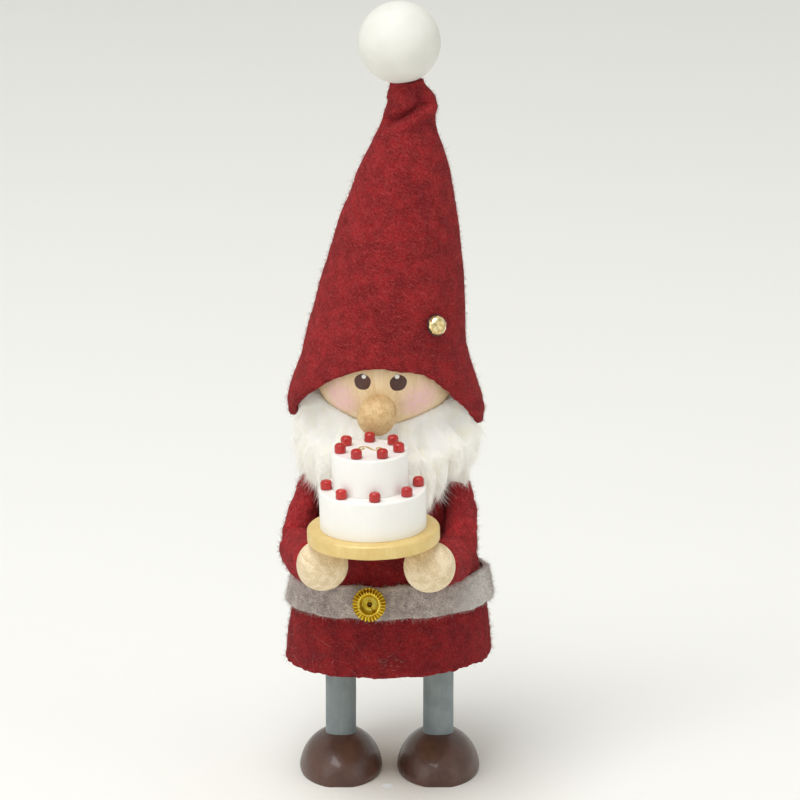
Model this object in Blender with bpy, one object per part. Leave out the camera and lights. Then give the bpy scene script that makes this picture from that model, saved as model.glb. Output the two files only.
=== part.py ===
"""A felt-and-wood tomte gnome carrying a two-tier cake on a round tray.

The gnome stands on the ground plane z = 0 and looks along -Y. "left" is the -X side. Sizes below
are in millimetres, and everything that makes a mesh or a place turns them into metres.

Legs and shoes stand square to the ground plane. Everything above them is built about the body's
own axis, as if it looked straight along -Y, and hangs on one empty that turns it by BODY_TURN.
"""

import math

import bmesh
import bpy
import numpy as np
from mathutils import Vector

MM = 0.001

# ---------------------------------------------------------------- driving dimensions, millimetres
GAP = 0.3  # clearance between pieces that touch

# shoes and legs
LEG_R = 3.0  # 6 mm dowel
LEG_SPACING = 19.2  # between the two leg axes
LEG_LENGTH = 34.5
SHOE_R = 8.2  # half-width, and height above the ground
SHOE_HALF_LENGTH = 10.8
SHOE_TIP_R = 2.6  # blunt turned end of the egg
SHOE_SOCKET_FLOOR = 2.5  # height of the leg socket's floor above the ground

# turned body core and the coat round it
FELT = 1.5  # coat felt
COAT_HEM_R = 20.0
COAT_TOP_R = 8.6
COAT_HEM_Z = 23.4  # mean height of the hem
COAT_HEM_RISE_FRONT = 2.4  # the hem dips behind and rises in front
COAT_HEM_RISE_RIGHT = 0.9
COAT_BULGE = 1.65  # 1 is a straight cone, more is rounder at the chest
CORE_HEIGHT = 42.3
LEG_SOCKET_DEPTH = 10.5

# neck
NECK_PEG_R = 3.0
NECK_PEG_LENGTH = 12.0
NECK_PEG_IN_HEAD = 6.5

# head, nose and beard
HEAD_R = 14.0
HEAD_X = -0.6  # the head sits a little to the left of the body's axis
NOSE_R = 3.65
NOSE_STEM_R = 3.3
NOSE_DROP = 6.0  # nose axis below the head's centre
NOSE_NECK = 3.2  # length over which the ball narrows to the stem
NOSE_PROUD = 7.1  # tip of the nose beyond the ball of the head
NOSE_SOCKET_DEPTH = 6.0  # how far into the head the stem goes
BEARD_THICK = 3.6  # at its lower edge in front
BEARD_THICK_SIDES = 2.0  # more of it beside the face
BEARD_THICK_RIGHT = 1.0  # and a little more on the right
BEARD_HALF_ANGLE = 108.0  # degrees each side of the front
BEARD_TOP_RISE = 5.4  # how the upper edge climbs from the nose to the ears
BEARD_LENGTH = 12.5  # from that edge down to the points
# share of that length at each angle from the front, in degrees
BEARD_OUTLINE = [(0, 0.9), (45, 1.0), (62, 0.72), (85, 0.44), (110, 0.3)]
BEARD_INNER_R = 11.5  # least inner radius, where it crosses the dip between head and coat
BEARD_HANGING_R = 12.4  # least radius that its lower part is laid on
BEARD_TUCK = 3.4  # it is thin enough to go under the hat from this far below the brim

# hat
HAT_FELT = 1.3
HAT_EASE = 0.1  # hat's inner radius over the head's, above the ears
HAT_FLARE = 1.6  # extra radius where the brim spreads over the beard
HAT_HEIGHT = 50.5  # from the head's centre to the fold near the tip
HAT_LEAN = 4.7  # sideways shift of the fold from the brim
HAT_BRIM_FRONT = 2.6  # brim above the head's centre in front
HAT_BRIM_BACK = -13.2  # and behind
HAT_BRIM_DROP_RIGHT = 0.9  # the brim sits lower on the right
HAT_TIP_TAPER = 10.6  # how much the hat's radius shrinks up to the fold
HAT_HOLLOW_BELOW_FOLD = 4.0
HAT_TIP_R = 4.4  # just above the fold
HAT_TIP_NECK_R = 3.1  # just under the ball
HAT_SPIGOT_R = 2.3  # rolled felt tip inside the ball
HAT_SPIGOT_LENGTH = 3.6
BALL_R = 7.8
BALL_X = 1.95
BALL_SINK = 2.6  # radius of the ball's blind hole
BALL_ABOVE_FOLD = 12.1  # ball centre above the fold
CRYSTAL_R = 2.15
CRYSTAL_HEIGHT = 1.5
CRYSTAL_TABLE = 0.52  # radius of the flat top as a share of the crystal's
CRYSTAL_GIRDLE = 0.3  # height of the widest edge as a share of the crystal's
CRYSTAL_ANGLE = 43.0  # degrees round the hat from the front
CRYSTAL_ABOVE_HEAD = 10.2  # above the head's centre
CRYSTAL_TIP_UP = 18.0  # degrees

# belt and buckle
BELT_WIDTH = 6.6
BELT_FELT = 1.0
BELT_ABOVE_HEM = 14.6  # mean height of the belt's middle over the hem
BELT_RISE_FRONT = 2.7
BELT_RISE_RIGHT = 0.5
BUCKLE_R = 3.15
BUCKLE_HOLE_R = 0.5
BUCKLE_DEPTH = 0.8
BUCKLE_WALL = 0.35
BUCKLE_X = -1.7

# tray, cake and cherries
TRAY_R = 12.5
TRAY_THICK = 2.7
TRAY_EDGE = 0.8  # rounded edge
TRAY_BELOW_CORE_TOP = 11.15  # middle of the tray
TRAY_TO_COAT = 2.734  # from the coat's front to the tray's back edge
TRAY_TILT = 1.2  # degrees, right side up
LOWER_TIER_R = 10.05
LOWER_TIER_HEIGHT = 7.3
UPPER_TIER_R = 7.15
UPPER_TIER_HEIGHT = 7.0
UPPER_TIER_X = -0.35
TIER_EDGE = 0.6  # rounded edge of both tiers
CHERRY_R = 1.02
CHERRY_HEIGHT = 1.9
CHERRY_EDGE = 0.45
UPPER_RING_INSET = 1.55  # from the upper tier's side in to the middle of its cherries
UPPER_RING_COUNT = 7
UPPER_RING_START = 96.0  # degrees, the first cherry of the ring
LOWER_RING_CLEAR = 0.48  # from the upper tier's side out to the lower cherries
LOWER_RING_COUNT = 8
LOWER_RING_START = -80.5

# arms: a wire runs from hand to hand through the core, inside felt sleeves
HAND_R = 4.9
HAND_SPACING = 20.3
WIRE_R = 0.7
WIRE_BELOW_CORE_TOP = 9.1  # the wire's level in the core
ARM_Y = -1.5
SLEEVE_WIDTH = 4.2  # half the sleeve's width
SLEEVE_THICK_SHOULDER = 2.3  # half its thickness where it lies on the coat
SLEEVE_THICK_WRIST = 4.1
SLEEVE_TO_HAND = 3.6  # sleeve end behind the hand's centre, hollowed to fit the ball
# down each sleeve from shoulder to forearm: degrees round from the front, how far its middle stands
# off the coat, and its height over the wire's level
LEFT_SLEEVE = [(84.84, 1.943, 2.1), (78.19, 2.15, -3.9), (63.16, 3.256, -10.8), (39.29, 7.168, -10.8)]
RIGHT_SLEEVE = [(83.04, 1.787, 2.1), (70.14, 1.829, -3.9), (49.27, 3.432, -10.8), (34.74, 7.122, -10.6)]

BODY_TURN = -6.0  # degrees about Z, towards the left

# ---------------------------------------------------------------- sizes that follow from them
LEG_BOTTOM = SHOE_SOCKET_FLOOR + GAP
LEG_TOP = LEG_BOTTOM + LEG_LENGTH
CORE_FLOOR = LEG_TOP + GAP - LEG_SOCKET_DEPTH
CORE_TOP = CORE_FLOOR + CORE_HEIGHT
COAT_TOP = CORE_TOP + GAP
HEAD_Z = CORE_TOP + GAP + HEAD_R
NECK_TOP = HEAD_Z - HEAD_R + NECK_PEG_IN_HEAD
NECK_BOTTOM = NECK_TOP - NECK_PEG_LENGTH
NOSE_Z = HEAD_Z - NOSE_DROP
NOSE_REACH = HEAD_R + NOSE_PROUD  # both in front of the body's axis
NOSE_STEM_END = HEAD_R - NOSE_SOCKET_DEPTH
BEARD_TOP_DROP = NOSE_DROP + NOSE_R + GAP  # the beard starts under the nose
HAT_BAND_Z = HEAD_Z + 4.4  # where the hat fits the head and the flare starts
HAT_BAND_R = HEAD_R + HAT_EASE + HAT_FELT
HAT_FOLD_Z = HEAD_Z + HAT_HEIGHT
BALL_Z = HAT_FOLD_Z + BALL_ABOVE_FOLD
BELT_Z = COAT_HEM_Z + BELT_ABOVE_HEM
ARM_Z = CORE_TOP - WIRE_BELOW_CORE_TOP
TRAY_Z = CORE_TOP - TRAY_BELOW_CORE_TOP
UPPER_RING_R = UPPER_TIER_R - UPPER_RING_INSET
LOWER_RING_R = UPPER_TIER_R + LOWER_RING_CLEAR + CHERRY_R

SIDES = 24  # round a turned piece
FELT_SIDES = 30  # round the coat, the belt and the hat
SMOOTH_ANGLE = math.radians(35)


# ---------------------------------------------------------------- scene, finishes and mesh helpers
def clear_scene():
    """Take every object out of the file, so that the script can run again."""
    for obj in list(bpy.data.objects):
        bpy.data.objects.remove(obj, do_unlink=True)


def finish(name, colour, roughness, metallic=0.0):
    """A plain Principled material."""
    material = bpy.data.materials.new(name)
    material.use_nodes = True
    shader = material.node_tree.nodes["Principled BSDF"]
    shader.inputs["Base Color"].default_value = (*colour, 1.0)
    shader.inputs["Roughness"].default_value = roughness
    shader.inputs["Metallic"].default_value = metallic
    material.diffuse_color = (*colour, 1.0)
    return material


def empty(name, parent=None, at=(0, 0, 0), turn=(0, 0, 0)):
    """A place that other objects hang on; at in millimetres, turn in degrees."""
    obj = bpy.data.objects.new(name, None)
    bpy.context.scene.collection.objects.link(obj)
    obj.parent = parent
    obj.location = Vector(at) * MM
    obj.rotation_euler = [math.radians(a) for a in turn]
    return obj


def add_piece(name, points, faces, material, parent, at=(0, 0, 0), turn=(0, 0, 0)):
    """One closed solid from its points in millimetres."""
    mesh = bpy.data.meshes.new(name)
    mesh.from_pydata((np.asarray(points) * MM).tolist(), [], faces)
    tidy = bmesh.new()
    tidy.from_mesh(mesh)
    bmesh.ops.recalc_face_normals(tidy, faces=tidy.faces)
    tidy.to_mesh(mesh)
    tidy.free()
    mesh.shade_smooth()
    mesh.set_sharp_from_angle(angle=SMOOTH_ANGLE)
    obj = bpy.data.objects.new(name, mesh)
    bpy.context.scene.collection.objects.link(obj)
    obj.parent = parent
    obj.location = Vector(at) * MM
    obj.rotation_euler = [math.radians(a) for a in turn]
    if material:
        obj.data.materials.append(material)
    return obj


def band_faces(rings, count, wrap):
    """Quads between neighbouring rings of count points each."""
    faces = []
    for i in range(rings if wrap else rings - 1):
        low, high = i * count, (i + 1) % rings * count
        for k in range(count):
            after = (k + 1) % count
            faces.append((low + k, low + after, high + after, high + k))
    return faces


def lofted(name, rings, material, parent, wrap=False):
    """A solid through closed rings of points: its two ends are capped, or joined if wrap is set."""
    rings = np.asarray(rings, float)
    number, count = rings.shape[:2]
    points = rings.reshape(-1, 3)
    faces = band_faces(number, count, wrap)
    if not wrap:
        for ring, first in ((0, 0), (number - 1, (number - 1) * count)):
            centre = len(points)
            points = np.vstack([points, rings[ring].mean(axis=0)])
            faces += [(first + k, first + (k + 1) % count, centre) for k in range(count)]
    return add_piece(name, points, faces, material, parent)


def turned(name, profile, material, parent, at=(0, 0, 0), turn=(0, 0, 0), sides=SIDES):
    """A lathe shape about Z: its (radius, height) profile starts and ends on the axis."""
    profile = np.array(profile, float)
    angle = np.arange(sides) * 2 * math.pi / sides
    middle = profile[1:-1]
    rings = np.stack(
        [
            np.outer(middle[:, 0], np.cos(angle)),
            np.outer(middle[:, 0], np.sin(angle)),
            np.repeat(middle[:, 1:], sides, axis=1),
        ],
        axis=-1,
    )
    points = np.vstack([rings.reshape(-1, 3), [0, 0, profile[0, 1]], [0, 0, profile[-1, 1]]])
    faces = band_faces(len(middle), sides, wrap=False)
    last, top = (len(middle) - 1) * sides, len(middle) * sides
    for k in range(sides):
        after = (k + 1) % sides
        faces += [(after, k, top), (last + k, last + after, top + 1)]
    return add_piece(name, points, faces, material, parent, at, turn)


def turned_ring(name, profile, material, parent, at=(0, 0, 0), turn=(0, 0, 0), sides=SIDES):
    """A lathe shape with a hole along Z: the profile is a closed outline off the axis."""
    profile = np.array(profile, float)
    angle = np.arange(sides) * 2 * math.pi / sides
    x = np.outer(profile[:, 0], np.cos(angle))
    y = np.outer(profile[:, 0], np.sin(angle))
    z = np.repeat(profile[:, 1:], sides, axis=1)
    points = np.stack([x, y, z], axis=-1).reshape(-1, 3)
    return add_piece(name, points, band_faces(len(profile), sides, True), material, parent, at, turn)


def arc(centre_r, centre_z, radius, start, end, steps):
    """Points of a (radius, height) profile along a circular arc, angles in degrees from +radius."""
    angles = np.radians(np.linspace(start, end, steps))
    return [(centre_r + radius * math.cos(a), centre_z + radius * math.sin(a)) for a in angles]


def rod_profile(radius, bottom, top, edge=0.4):
    """A dowel with eased ends."""
    return [
        (0, top),
        (radius - edge, top),
        (radius, top - edge),
        (radius, bottom + edge),
        (radius - edge, bottom),
        (0, bottom),
    ]


def disc_profile(radius, bottom, top, edge, steps=3):
    """A disc or tier with rounded edges."""
    return (
        [(0, top)]
        + arc(radius - edge, top - edge, edge, 90, 0, steps)
        + arc(radius - edge, bottom + edge, edge, 0, -90, steps)
        + [(0, bottom)]
    )


def bored_ball_profile(radius, bore_r, floor, steps):
    """A ball with a blind hole from below, up to the height of floor from its centre."""
    rim = math.degrees(math.acos(bore_r / radius))
    return (
        [(0, radius)]
        + arc(0, 0, radius, 90, -rim, steps)[1:]
        + [(bore_r, floor), (0, floor)]
    )


def cut(obj, *cutters):
    """Take each cutter's shape out of obj."""
    for cutter in cutters:
        cutter.hide_render = True
        cutter.display_type = "WIRE"
        boolean = obj.modifiers.new(cutter.name, "BOOLEAN")
        boolean.operation = "DIFFERENCE"
        boolean.solver = "EXACT"
        boolean.object = cutter


def drill(name, radius, length, parent, at, turn=(0, 0, 0), sides=16):
    """A round cutter that starts at the place given and runs along its own +Z."""
    return turned(name, [(0, length), (radius, length), (radius, 0), (0, 0)], None, parent, at, turn, sides)


def smooth_path(points, steps):
    """A Catmull-Rom curve through the points, with steps points to each stretch."""
    points = np.array(points, float)
    ends = np.vstack([2 * points[0] - points[1], points, 2 * points[-1] - points[-2]])
    t = np.linspace(0, 1, steps, endpoint=False)[:, None]
    curve = []
    for a, b, c, d in zip(ends[:-3], ends[1:-2], ends[2:-1], ends[3:]):
        curve.append(
            b
            + (c - a) * t / 2
            + (a - 2.5 * b + 2 * c - d / 2) * t**2
            + (1.5 * b - a / 2 - 1.5 * c + d / 2) * t**3
        )
    return np.vstack(curve + [points[-1:]])


def unit(vectors):
    """The same directions with a length of one."""
    return vectors / np.linalg.norm(vectors, axis=-1, keepdims=True)


def tube_rings(path, thick, wide, across, sides):
    """Oval rings square to a path: thick along the direction across, wide along the other."""
    tangent = unit(np.gradient(path, axis=0))
    across = np.array(across, float)
    first = unit(across - (tangent @ across)[:, None] * tangent)
    second = np.cross(tangent, first)
    angle = np.arange(sides) * 2 * math.pi / sides
    thick = np.broadcast_to(thick, len(path))[:, None, None]
    wide = np.broadcast_to(wide, len(path))[:, None, None]
    return (
        path[:, None]
        + thick * np.cos(angle)[None, :, None] * first[:, None]
        + wide * np.sin(angle)[None, :, None] * second[:, None]
    )


def smoothstep(t):
    """0 below 0, 1 above 1, and an even rise between."""
    t = np.clip(t, 0, 1)
    return t * t * (3 - 2 * t)


def round_front(angle, radius, z, centre_x=0.0):
    """Points round the body's axis: angle 0 is the front (-Y), and it grows towards the right (+X)."""
    return np.stack([centre_x + radius * np.sin(angle), -radius * np.cos(angle), z + 0 * angle], axis=-1)


# ---------------------------------------------------------------- shapes that several pieces share
def coat_radius(z):
    """Outside of the coat at a height: wide and nearly straight at the hem, rounded in to the neck."""
    t = (z - COAT_HEM_Z) / (COAT_TOP - COAT_HEM_Z)
    return COAT_TOP_R + (COAT_HEM_R - COAT_TOP_R) * (1 - np.sign(t) * np.abs(t) ** COAT_BULGE)


def tray_forward():
    """How far the tray's middle is in front of the body's axis: it clears the coat and the nose."""
    from_coat = coat_radius(TRAY_Z) + TRAY_TO_COAT + TRAY_R
    from_nose = NOSE_REACH + GAP + UPPER_RING_R + CHERRY_R
    return max(from_coat, from_nose)


def coat_slope(z):
    """Degrees by which the coat's side leans in from upright at a height."""
    return math.degrees(math.atan(coat_radius(z - 0.5) - coat_radius(z + 0.5)))


def hem_height(angle):
    """The hem's height round the coat."""
    return COAT_HEM_Z + COAT_HEM_RISE_FRONT * np.cos(angle) + COAT_HEM_RISE_RIGHT * np.sin(angle)


def belt_height(angle):
    """The height of the belt's middle round the coat."""
    return BELT_Z + BELT_RISE_FRONT * np.cos(angle) + BELT_RISE_RIGHT * np.sin(angle)


def brim_height(angle):
    """The hat's brim: an arch over the face, dropping behind the ears to the back."""
    arch = ((1 + np.cos(angle)) / 2) ** 2.5
    skew = HAT_BRIM_DROP_RIGHT * np.sin(angle) * (1 - arch)
    return HEAD_Z + HAT_BRIM_BACK + (HAT_BRIM_FRONT - HAT_BRIM_BACK) * arch - skew


def hat_radius(z, angle):
    """Outside of the hat: a cone that curves in to the tip, spread sideways over the beard."""
    t = (z - HAT_BAND_Z) / (HAT_FOLD_Z - HAT_BAND_Z)
    cone = HAT_BAND_R - HAT_TIP_TAPER * (0.52 * t + 0.48 * np.sign(t) * t**2)
    return cone + HAT_FLARE * smoothstep((HAT_BAND_Z - z) / 12.0) * np.abs(np.sin(angle))


def hat_centre(z):
    """Sideways place of the hat's middle: over the head below, leaning right towards the tip."""
    t = np.clip((z - HAT_BAND_Z) / (HAT_FOLD_Z - HAT_BAND_Z), 0, None)
    return HEAD_X - 0.25 + HAT_LEAN * t + 0.25 * smoothstep(t * 4)


# ---------------------------------------------------------------- finishes
def make_finishes():
    """Every material of the gnome, by name."""
    return {
        "red_felt": finish("red_felt", (0.262, 0.014, 0.023), 0.95),
        "grey_felt": finish("grey_felt", (0.35, 0.30, 0.30), 0.95),
        "wool_fleece": finish("wool_fleece", (0.82, 0.80, 0.73), 0.95),
        "bare_wood": finish("bare_wood", (0.72, 0.52, 0.32), 0.6),
        "core_wood": finish("core_wood", (0.62, 0.45, 0.27), 0.7),
        "white_paint": finish("white_paint", (0.84, 0.83, 0.79), 0.35),
        "gold_paint": finish("gold_paint", (0.60, 0.42, 0.16), 0.38, 0.6),
        "cherry_paint": finish("cherry_paint", (0.50, 0.012, 0.012), 0.22),
        "leg_paint": finish("leg_paint", (0.19, 0.23, 0.27), 0.55),
        "shoe_paint": finish("shoe_paint", (0.10, 0.045, 0.035), 0.32),
        "gold_foil": finish("gold_foil", (0.80, 0.55, 0.08), 0.15, 1.0),
        "crystal": finish("crystal", (0.75, 0.55, 0.25), 0.08, 0.5),
        "steel_wire": finish("steel_wire", (0.45, 0.45, 0.45), 0.4, 1.0),
    }


# ---------------------------------------------------------------- pieces
def make_feet(root, paint):
    """Two half-egg shoes, flat on the ground, each with a dowel leg in its socket."""
    for side, name in ((-1, "left"), (1, "right")):
        x = side * LEG_SPACING / 2
        spread = SHOE_HALF_LENGTH / math.sqrt(1 - (SHOE_TIP_R / SHOE_R) ** 2)
        along = SHOE_HALF_LENGTH * np.sin(np.linspace(-math.pi / 2, math.pi / 2, 11))
        half = SHOE_R * np.sqrt(1 - (along / spread) ** 2)
        round_over = np.linspace(0, math.pi, 13)
        rings = np.stack(
            [
                x + np.outer(half, np.cos(round_over)),
                np.repeat(along[:, None], len(round_over), axis=1),
                np.outer(half, np.sin(round_over)),
            ],
            axis=-1,
        )
        shoe = lofted(f"shoe_{name}", rings, paint["shoe_paint"], root)
        socket_at = (x, 0, SHOE_SOCKET_FLOOR)
        cut(shoe, drill(f"leg_socket_{name}", LEG_R + GAP, SHOE_R, root, socket_at, sides=20))
        turned(
            f"leg_{name}",
            rod_profile(LEG_R, LEG_BOTTOM, LEG_TOP),
            paint["leg_paint"],
            root,
            at=(x, 0, 0),
            sides=20,
        )


def make_core(root, body, paint):
    """The turned core inside the coat, with sockets for the legs and neck and a bore for the wire."""
    inside = FELT + GAP
    heights = np.linspace(CORE_TOP, CORE_FLOOR, 7)
    side = [(coat_radius(z) - inside, z) for z in heights]
    core = turned("body_core", [(0, CORE_TOP)] + side + [(0, CORE_FLOOR)], paint["core_wood"], body)
    sockets = []
    for sign, name in ((-1, "left"), (1, "right")):
        at = (sign * LEG_SPACING / 2, 0, CORE_FLOOR - 1)
        sockets.append(drill(f"core_socket_{name}", LEG_R + GAP, LEG_SOCKET_DEPTH + 1, root, at))
    neck_at = (0, 0, NECK_BOTTOM - GAP)
    sockets.append(drill("neck_socket", NECK_PEG_R + GAP, 20, body, neck_at))
    sockets.append(arm_bore("core_arm_bore", body))
    cut(core, *sockets)
    turned("neck_peg", rod_profile(NECK_PEG_R, NECK_BOTTOM, NECK_TOP), paint["core_wood"], body, sides=16)


def arm_bore(name, body):
    """A straight hole through the shoulders, for the arm wire."""
    reach = COAT_HEM_R
    return drill(name, WIRE_R + GAP, 2 * reach, body, (-reach, ARM_Y, ARM_Z), (0, 90, 0), sides=12)


def make_coat(body, paint):
    """One piece of felt wrapped round the core: a shell with an open hem and neck."""
    angle = np.arange(FELT_SIDES) * 2 * math.pi / FELT_SIDES
    outer, inner = [], []
    for t in np.linspace(0, 1, 7):
        z = hem_height(angle) * (1 - t) + COAT_TOP * t
        outer.append(round_front(angle, coat_radius(z), z))
        inner.append(round_front(angle, coat_radius(z) - FELT, z))
    coat = lofted("coat", outer + inner[::-1], paint["red_felt"], body, wrap=True)
    cut(coat, arm_bore("coat_arm_holes", body))


def make_belt(body, paint):
    """A felt strip round the coat, and the round buckle in front of it."""
    angle = np.arange(FELT_SIDES) * 2 * math.pi / FELT_SIDES
    rings = []
    for t, proud in ((-0.5, 0.0), (-0.5, BELT_FELT), (0.5, BELT_FELT), (0.5, 0.0)):
        z = belt_height(angle) + t * BELT_WIDTH
        rings.append(round_front(angle, coat_radius(z) + GAP + proud, z))
    lofted("belt", rings, paint["grey_felt"], body, wrap=True)

    belt_face = coat_radius(belt_height(0.0)) + GAP + BELT_FELT
    buckle_angle = math.asin(BUCKLE_X / belt_face)
    z = belt_height(buckle_angle)
    lean = coat_slope(z)
    # the flat back of a round buckle stands off a round belt by the belt's rise across it
    rise = belt_face - math.sqrt(belt_face**2 - BUCKLE_R**2)
    stand = belt_face + rise + 2 * GAP
    at = (stand * math.sin(buckle_angle), -stand * math.cos(buckle_angle), z)
    mid_r = BUCKLE_R * 0.45
    outline = [
        (BUCKLE_HOLE_R, 0),
        (mid_r, 0),
        (BUCKLE_R, BUCKLE_DEPTH),
        (BUCKLE_R, BUCKLE_DEPTH + BUCKLE_WALL),
        (mid_r, BUCKLE_WALL),
        (BUCKLE_HOLE_R, BUCKLE_WALL),
    ]
    turn = (90 - lean, 0, math.degrees(buckle_angle))
    turned_ring("buckle", outline, paint["gold_foil"], body, at, turn, sides=20)


def make_head(body, paint):
    """The turned head with its neck socket, and the nose peg in a socket of its own."""
    profile = [(0, HEAD_R)] + arc(0, 0, HEAD_R, 90, -90, 13)[1:-1] + [(0, -HEAD_R)]
    head = turned("head", profile, paint["bare_wood"], body, at=(HEAD_X, 0, HEAD_Z))
    nose_at = (HEAD_X, -NOSE_STEM_END + GAP, NOSE_Z)
    cut(
        head,
        drill("head_neck_socket", NECK_PEG_R + GAP, 30, body, (0, 0, NECK_TOP + GAP), (180, 0, 0)),
        drill("head_nose_socket", NOSE_STEM_R + GAP, 20, body, nose_at, (90, 0, 0), sides=20),
    )
    length = NOSE_REACH - NOSE_STEM_END
    shoulder = length - NOSE_R
    nose = (
        [(0, length)]
        + arc(0, shoulder, NOSE_R, 90, 0, 6)[1:]
        + [(NOSE_STEM_R, shoulder - NOSE_NECK), (NOSE_STEM_R, 0), (0, 0)]
    )
    nose_at = (HEAD_X, -NOSE_STEM_END, NOSE_Z)
    turned("nose", nose, paint["bare_wood"], body, nose_at, (90, 0, 0), sides=20)


def make_beard(body, paint):
    """Wool fleece round the lower face: a thick curtain under the hat, over the chest."""
    angles = np.radians(np.linspace(-BEARD_HALF_ANGLE, BEARD_HALF_ANGLE, 17))
    top_z = HEAD_Z - BEARD_TOP_DROP + BEARD_TOP_RISE * (1 - np.cos(angles)) ** 0.7
    share = np.interp(np.degrees(np.abs(angles)), *zip(*BEARD_OUTLINE))
    low_z = HEAD_Z - BEARD_TOP_DROP - BEARD_LENGTH * share
    rings = []
    thick = BEARD_THICK + BEARD_THICK_SIDES * np.abs(np.sin(angles)) + BEARD_THICK_RIGHT * np.sin(angles)
    for angle, high, low, depth in zip(angles, top_z, low_z, thick):
        z = np.linspace(high, low, 7)
        under_hat = hat_radius(z, angle) - HAT_FELT - GAP - 0.25
        head = np.sqrt(np.clip(HEAD_R**2 - (z - HEAD_Z) ** 2, 0, None))
        coat = coat_radius(z) + abs(HEAD_X)
        inner = np.maximum(np.maximum(head, coat) + GAP, BEARD_INNER_R)
        hanging = np.maximum(coat + GAP, BEARD_HANGING_R) + depth
        outer = hanging + (under_hat - hanging) * smoothstep((z - low) / (high - low) * 1.3)
        tucked = z > brim_height(angle) - BEARD_TUCK
        outer = np.where(tucked, np.minimum(outer, under_hat), outer)
        outside = round_front(np.full_like(z, angle), outer, z, HEAD_X)
        inside = round_front(np.full_like(z, angle), inner, z, HEAD_X)
        rings.append(np.vstack([outside, inside[::-1]]))
    lofted("beard", rings, paint["wool_fleece"], body)


def make_hat(body, paint):
    """A hollow felt cone over the head, folded near its tip and rolled into the ball's hole."""
    angle = np.arange(FELT_SIDES) * 2 * math.pi / FELT_SIDES
    outer, inner = [], []
    inner_top = HAT_FOLD_Z - HAT_HOLLOW_BELOW_FOLD
    for t in np.linspace(0, 1, 9):
        z = brim_height(angle) * (1 - t) + HAT_FOLD_Z * t
        outer.append(round_front(angle, hat_radius(z, angle), z, hat_centre(z)))
        z = brim_height(angle) * (1 - t) + inner_top * t
        inner.append(round_front(angle, hat_radius(z, angle) - HAT_FELT, z, hat_centre(z)))
    fold_x = float(hat_centre(HAT_FOLD_Z))
    ball_floor = BALL_Z - math.sqrt(BALL_R**2 - BALL_SINK**2)
    tip = [
        (fold_x - 0.3, HAT_TIP_R, HAT_FOLD_Z + 2.0),
        ((fold_x + BALL_X) / 2, HAT_TIP_NECK_R, ball_floor - 1.0),
        (BALL_X, HAT_SPIGOT_R, ball_floor - GAP),
        (BALL_X, HAT_SPIGOT_R, ball_floor + HAT_SPIGOT_LENGTH),
    ]
    folded = [round_front(angle, radius, np.full_like(angle, z), x) for x, radius, z in tip]
    lofted("hat", inner[::-1] + outer + folded, paint["red_felt"], body)

    bore_end = ball_floor + HAT_SPIGOT_LENGTH + GAP - BALL_Z
    ball = bored_ball_profile(BALL_R, BALL_SINK, bore_end, 11)
    turned("hat_ball", ball, paint["white_paint"], body, at=(BALL_X, 0, BALL_Z))
    make_crystal(body, paint)


def make_crystal(body, paint):
    """A round flat-backed crystal glued to the hat's right front, tipped a little upwards."""
    angle, z = math.radians(CRYSTAL_ANGLE), HEAD_Z + CRYSTAL_ABOVE_HEAD
    radius = float(hat_radius(z, angle))
    tilt = math.radians(CRYSTAL_TIP_UP)
    stand = radius + CRYSTAL_R**2 / (2 * radius) + CRYSTAL_R * math.sin(tilt) + GAP
    at = round_front(np.array(angle), stand, z, float(hat_centre(z)))
    profile = [
        (0, CRYSTAL_HEIGHT),
        (CRYSTAL_R * CRYSTAL_TABLE, CRYSTAL_HEIGHT),
        (CRYSTAL_R, CRYSTAL_HEIGHT * CRYSTAL_GIRDLE),
        (CRYSTAL_R, 0),
        (0, 0),
    ]
    turn = (90 - CRYSTAL_TIP_UP, 0, CRYSTAL_ANGLE)
    turned("hat_crystal", profile, paint["crystal"], body, at, turn, sides=16)


def make_cherry_ring(prefix, count, radius, start, centre_x, z, tray, paint):
    """Equal cherries round a tier, each an object of its own."""
    profile = disc_profile(CHERRY_R, 0, CHERRY_HEIGHT, CHERRY_EDGE)
    for k in range(count):
        angle = math.radians(start + k * 360 / count)
        at = (centre_x + radius * math.cos(angle), radius * math.sin(angle), z)
        turned(f"{prefix}_{k + 1}", profile, paint["cherry_paint"], tray, at, sides=10)


def make_cake(body, paint):
    """The tray with the two tiers and the cherries, all tilted together on one empty."""
    tray = empty("tray_place", body, (0, -tray_forward(), TRAY_Z), (0, -TRAY_TILT, 0))
    half = TRAY_THICK / 2
    turned("tray", disc_profile(TRAY_R, -half, half, TRAY_EDGE), paint["gold_paint"], tray, sides=30)
    lower_z = half + GAP
    lower_top = lower_z + LOWER_TIER_HEIGHT
    upper_z = lower_top + GAP
    upper_top = upper_z + UPPER_TIER_HEIGHT
    lower = disc_profile(LOWER_TIER_R, lower_z, lower_top, TIER_EDGE)
    turned("cake_lower_tier", lower, paint["white_paint"], tray)
    upper = disc_profile(UPPER_TIER_R, upper_z, upper_top, TIER_EDGE)
    turned("cake_upper_tier", upper, paint["white_paint"], tray, at=(UPPER_TIER_X, 0, 0))
    make_cherry_ring(
        "cherry_upper",
        UPPER_RING_COUNT,
        UPPER_RING_R,
        UPPER_RING_START,
        UPPER_TIER_X,
        upper_top + GAP,
        tray,
        paint,
    )
    make_cherry_ring(
        "cherry_lower", LOWER_RING_COUNT, LOWER_RING_R, LOWER_RING_START, 0.0, lower_top + GAP, tray, paint
    )


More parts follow.
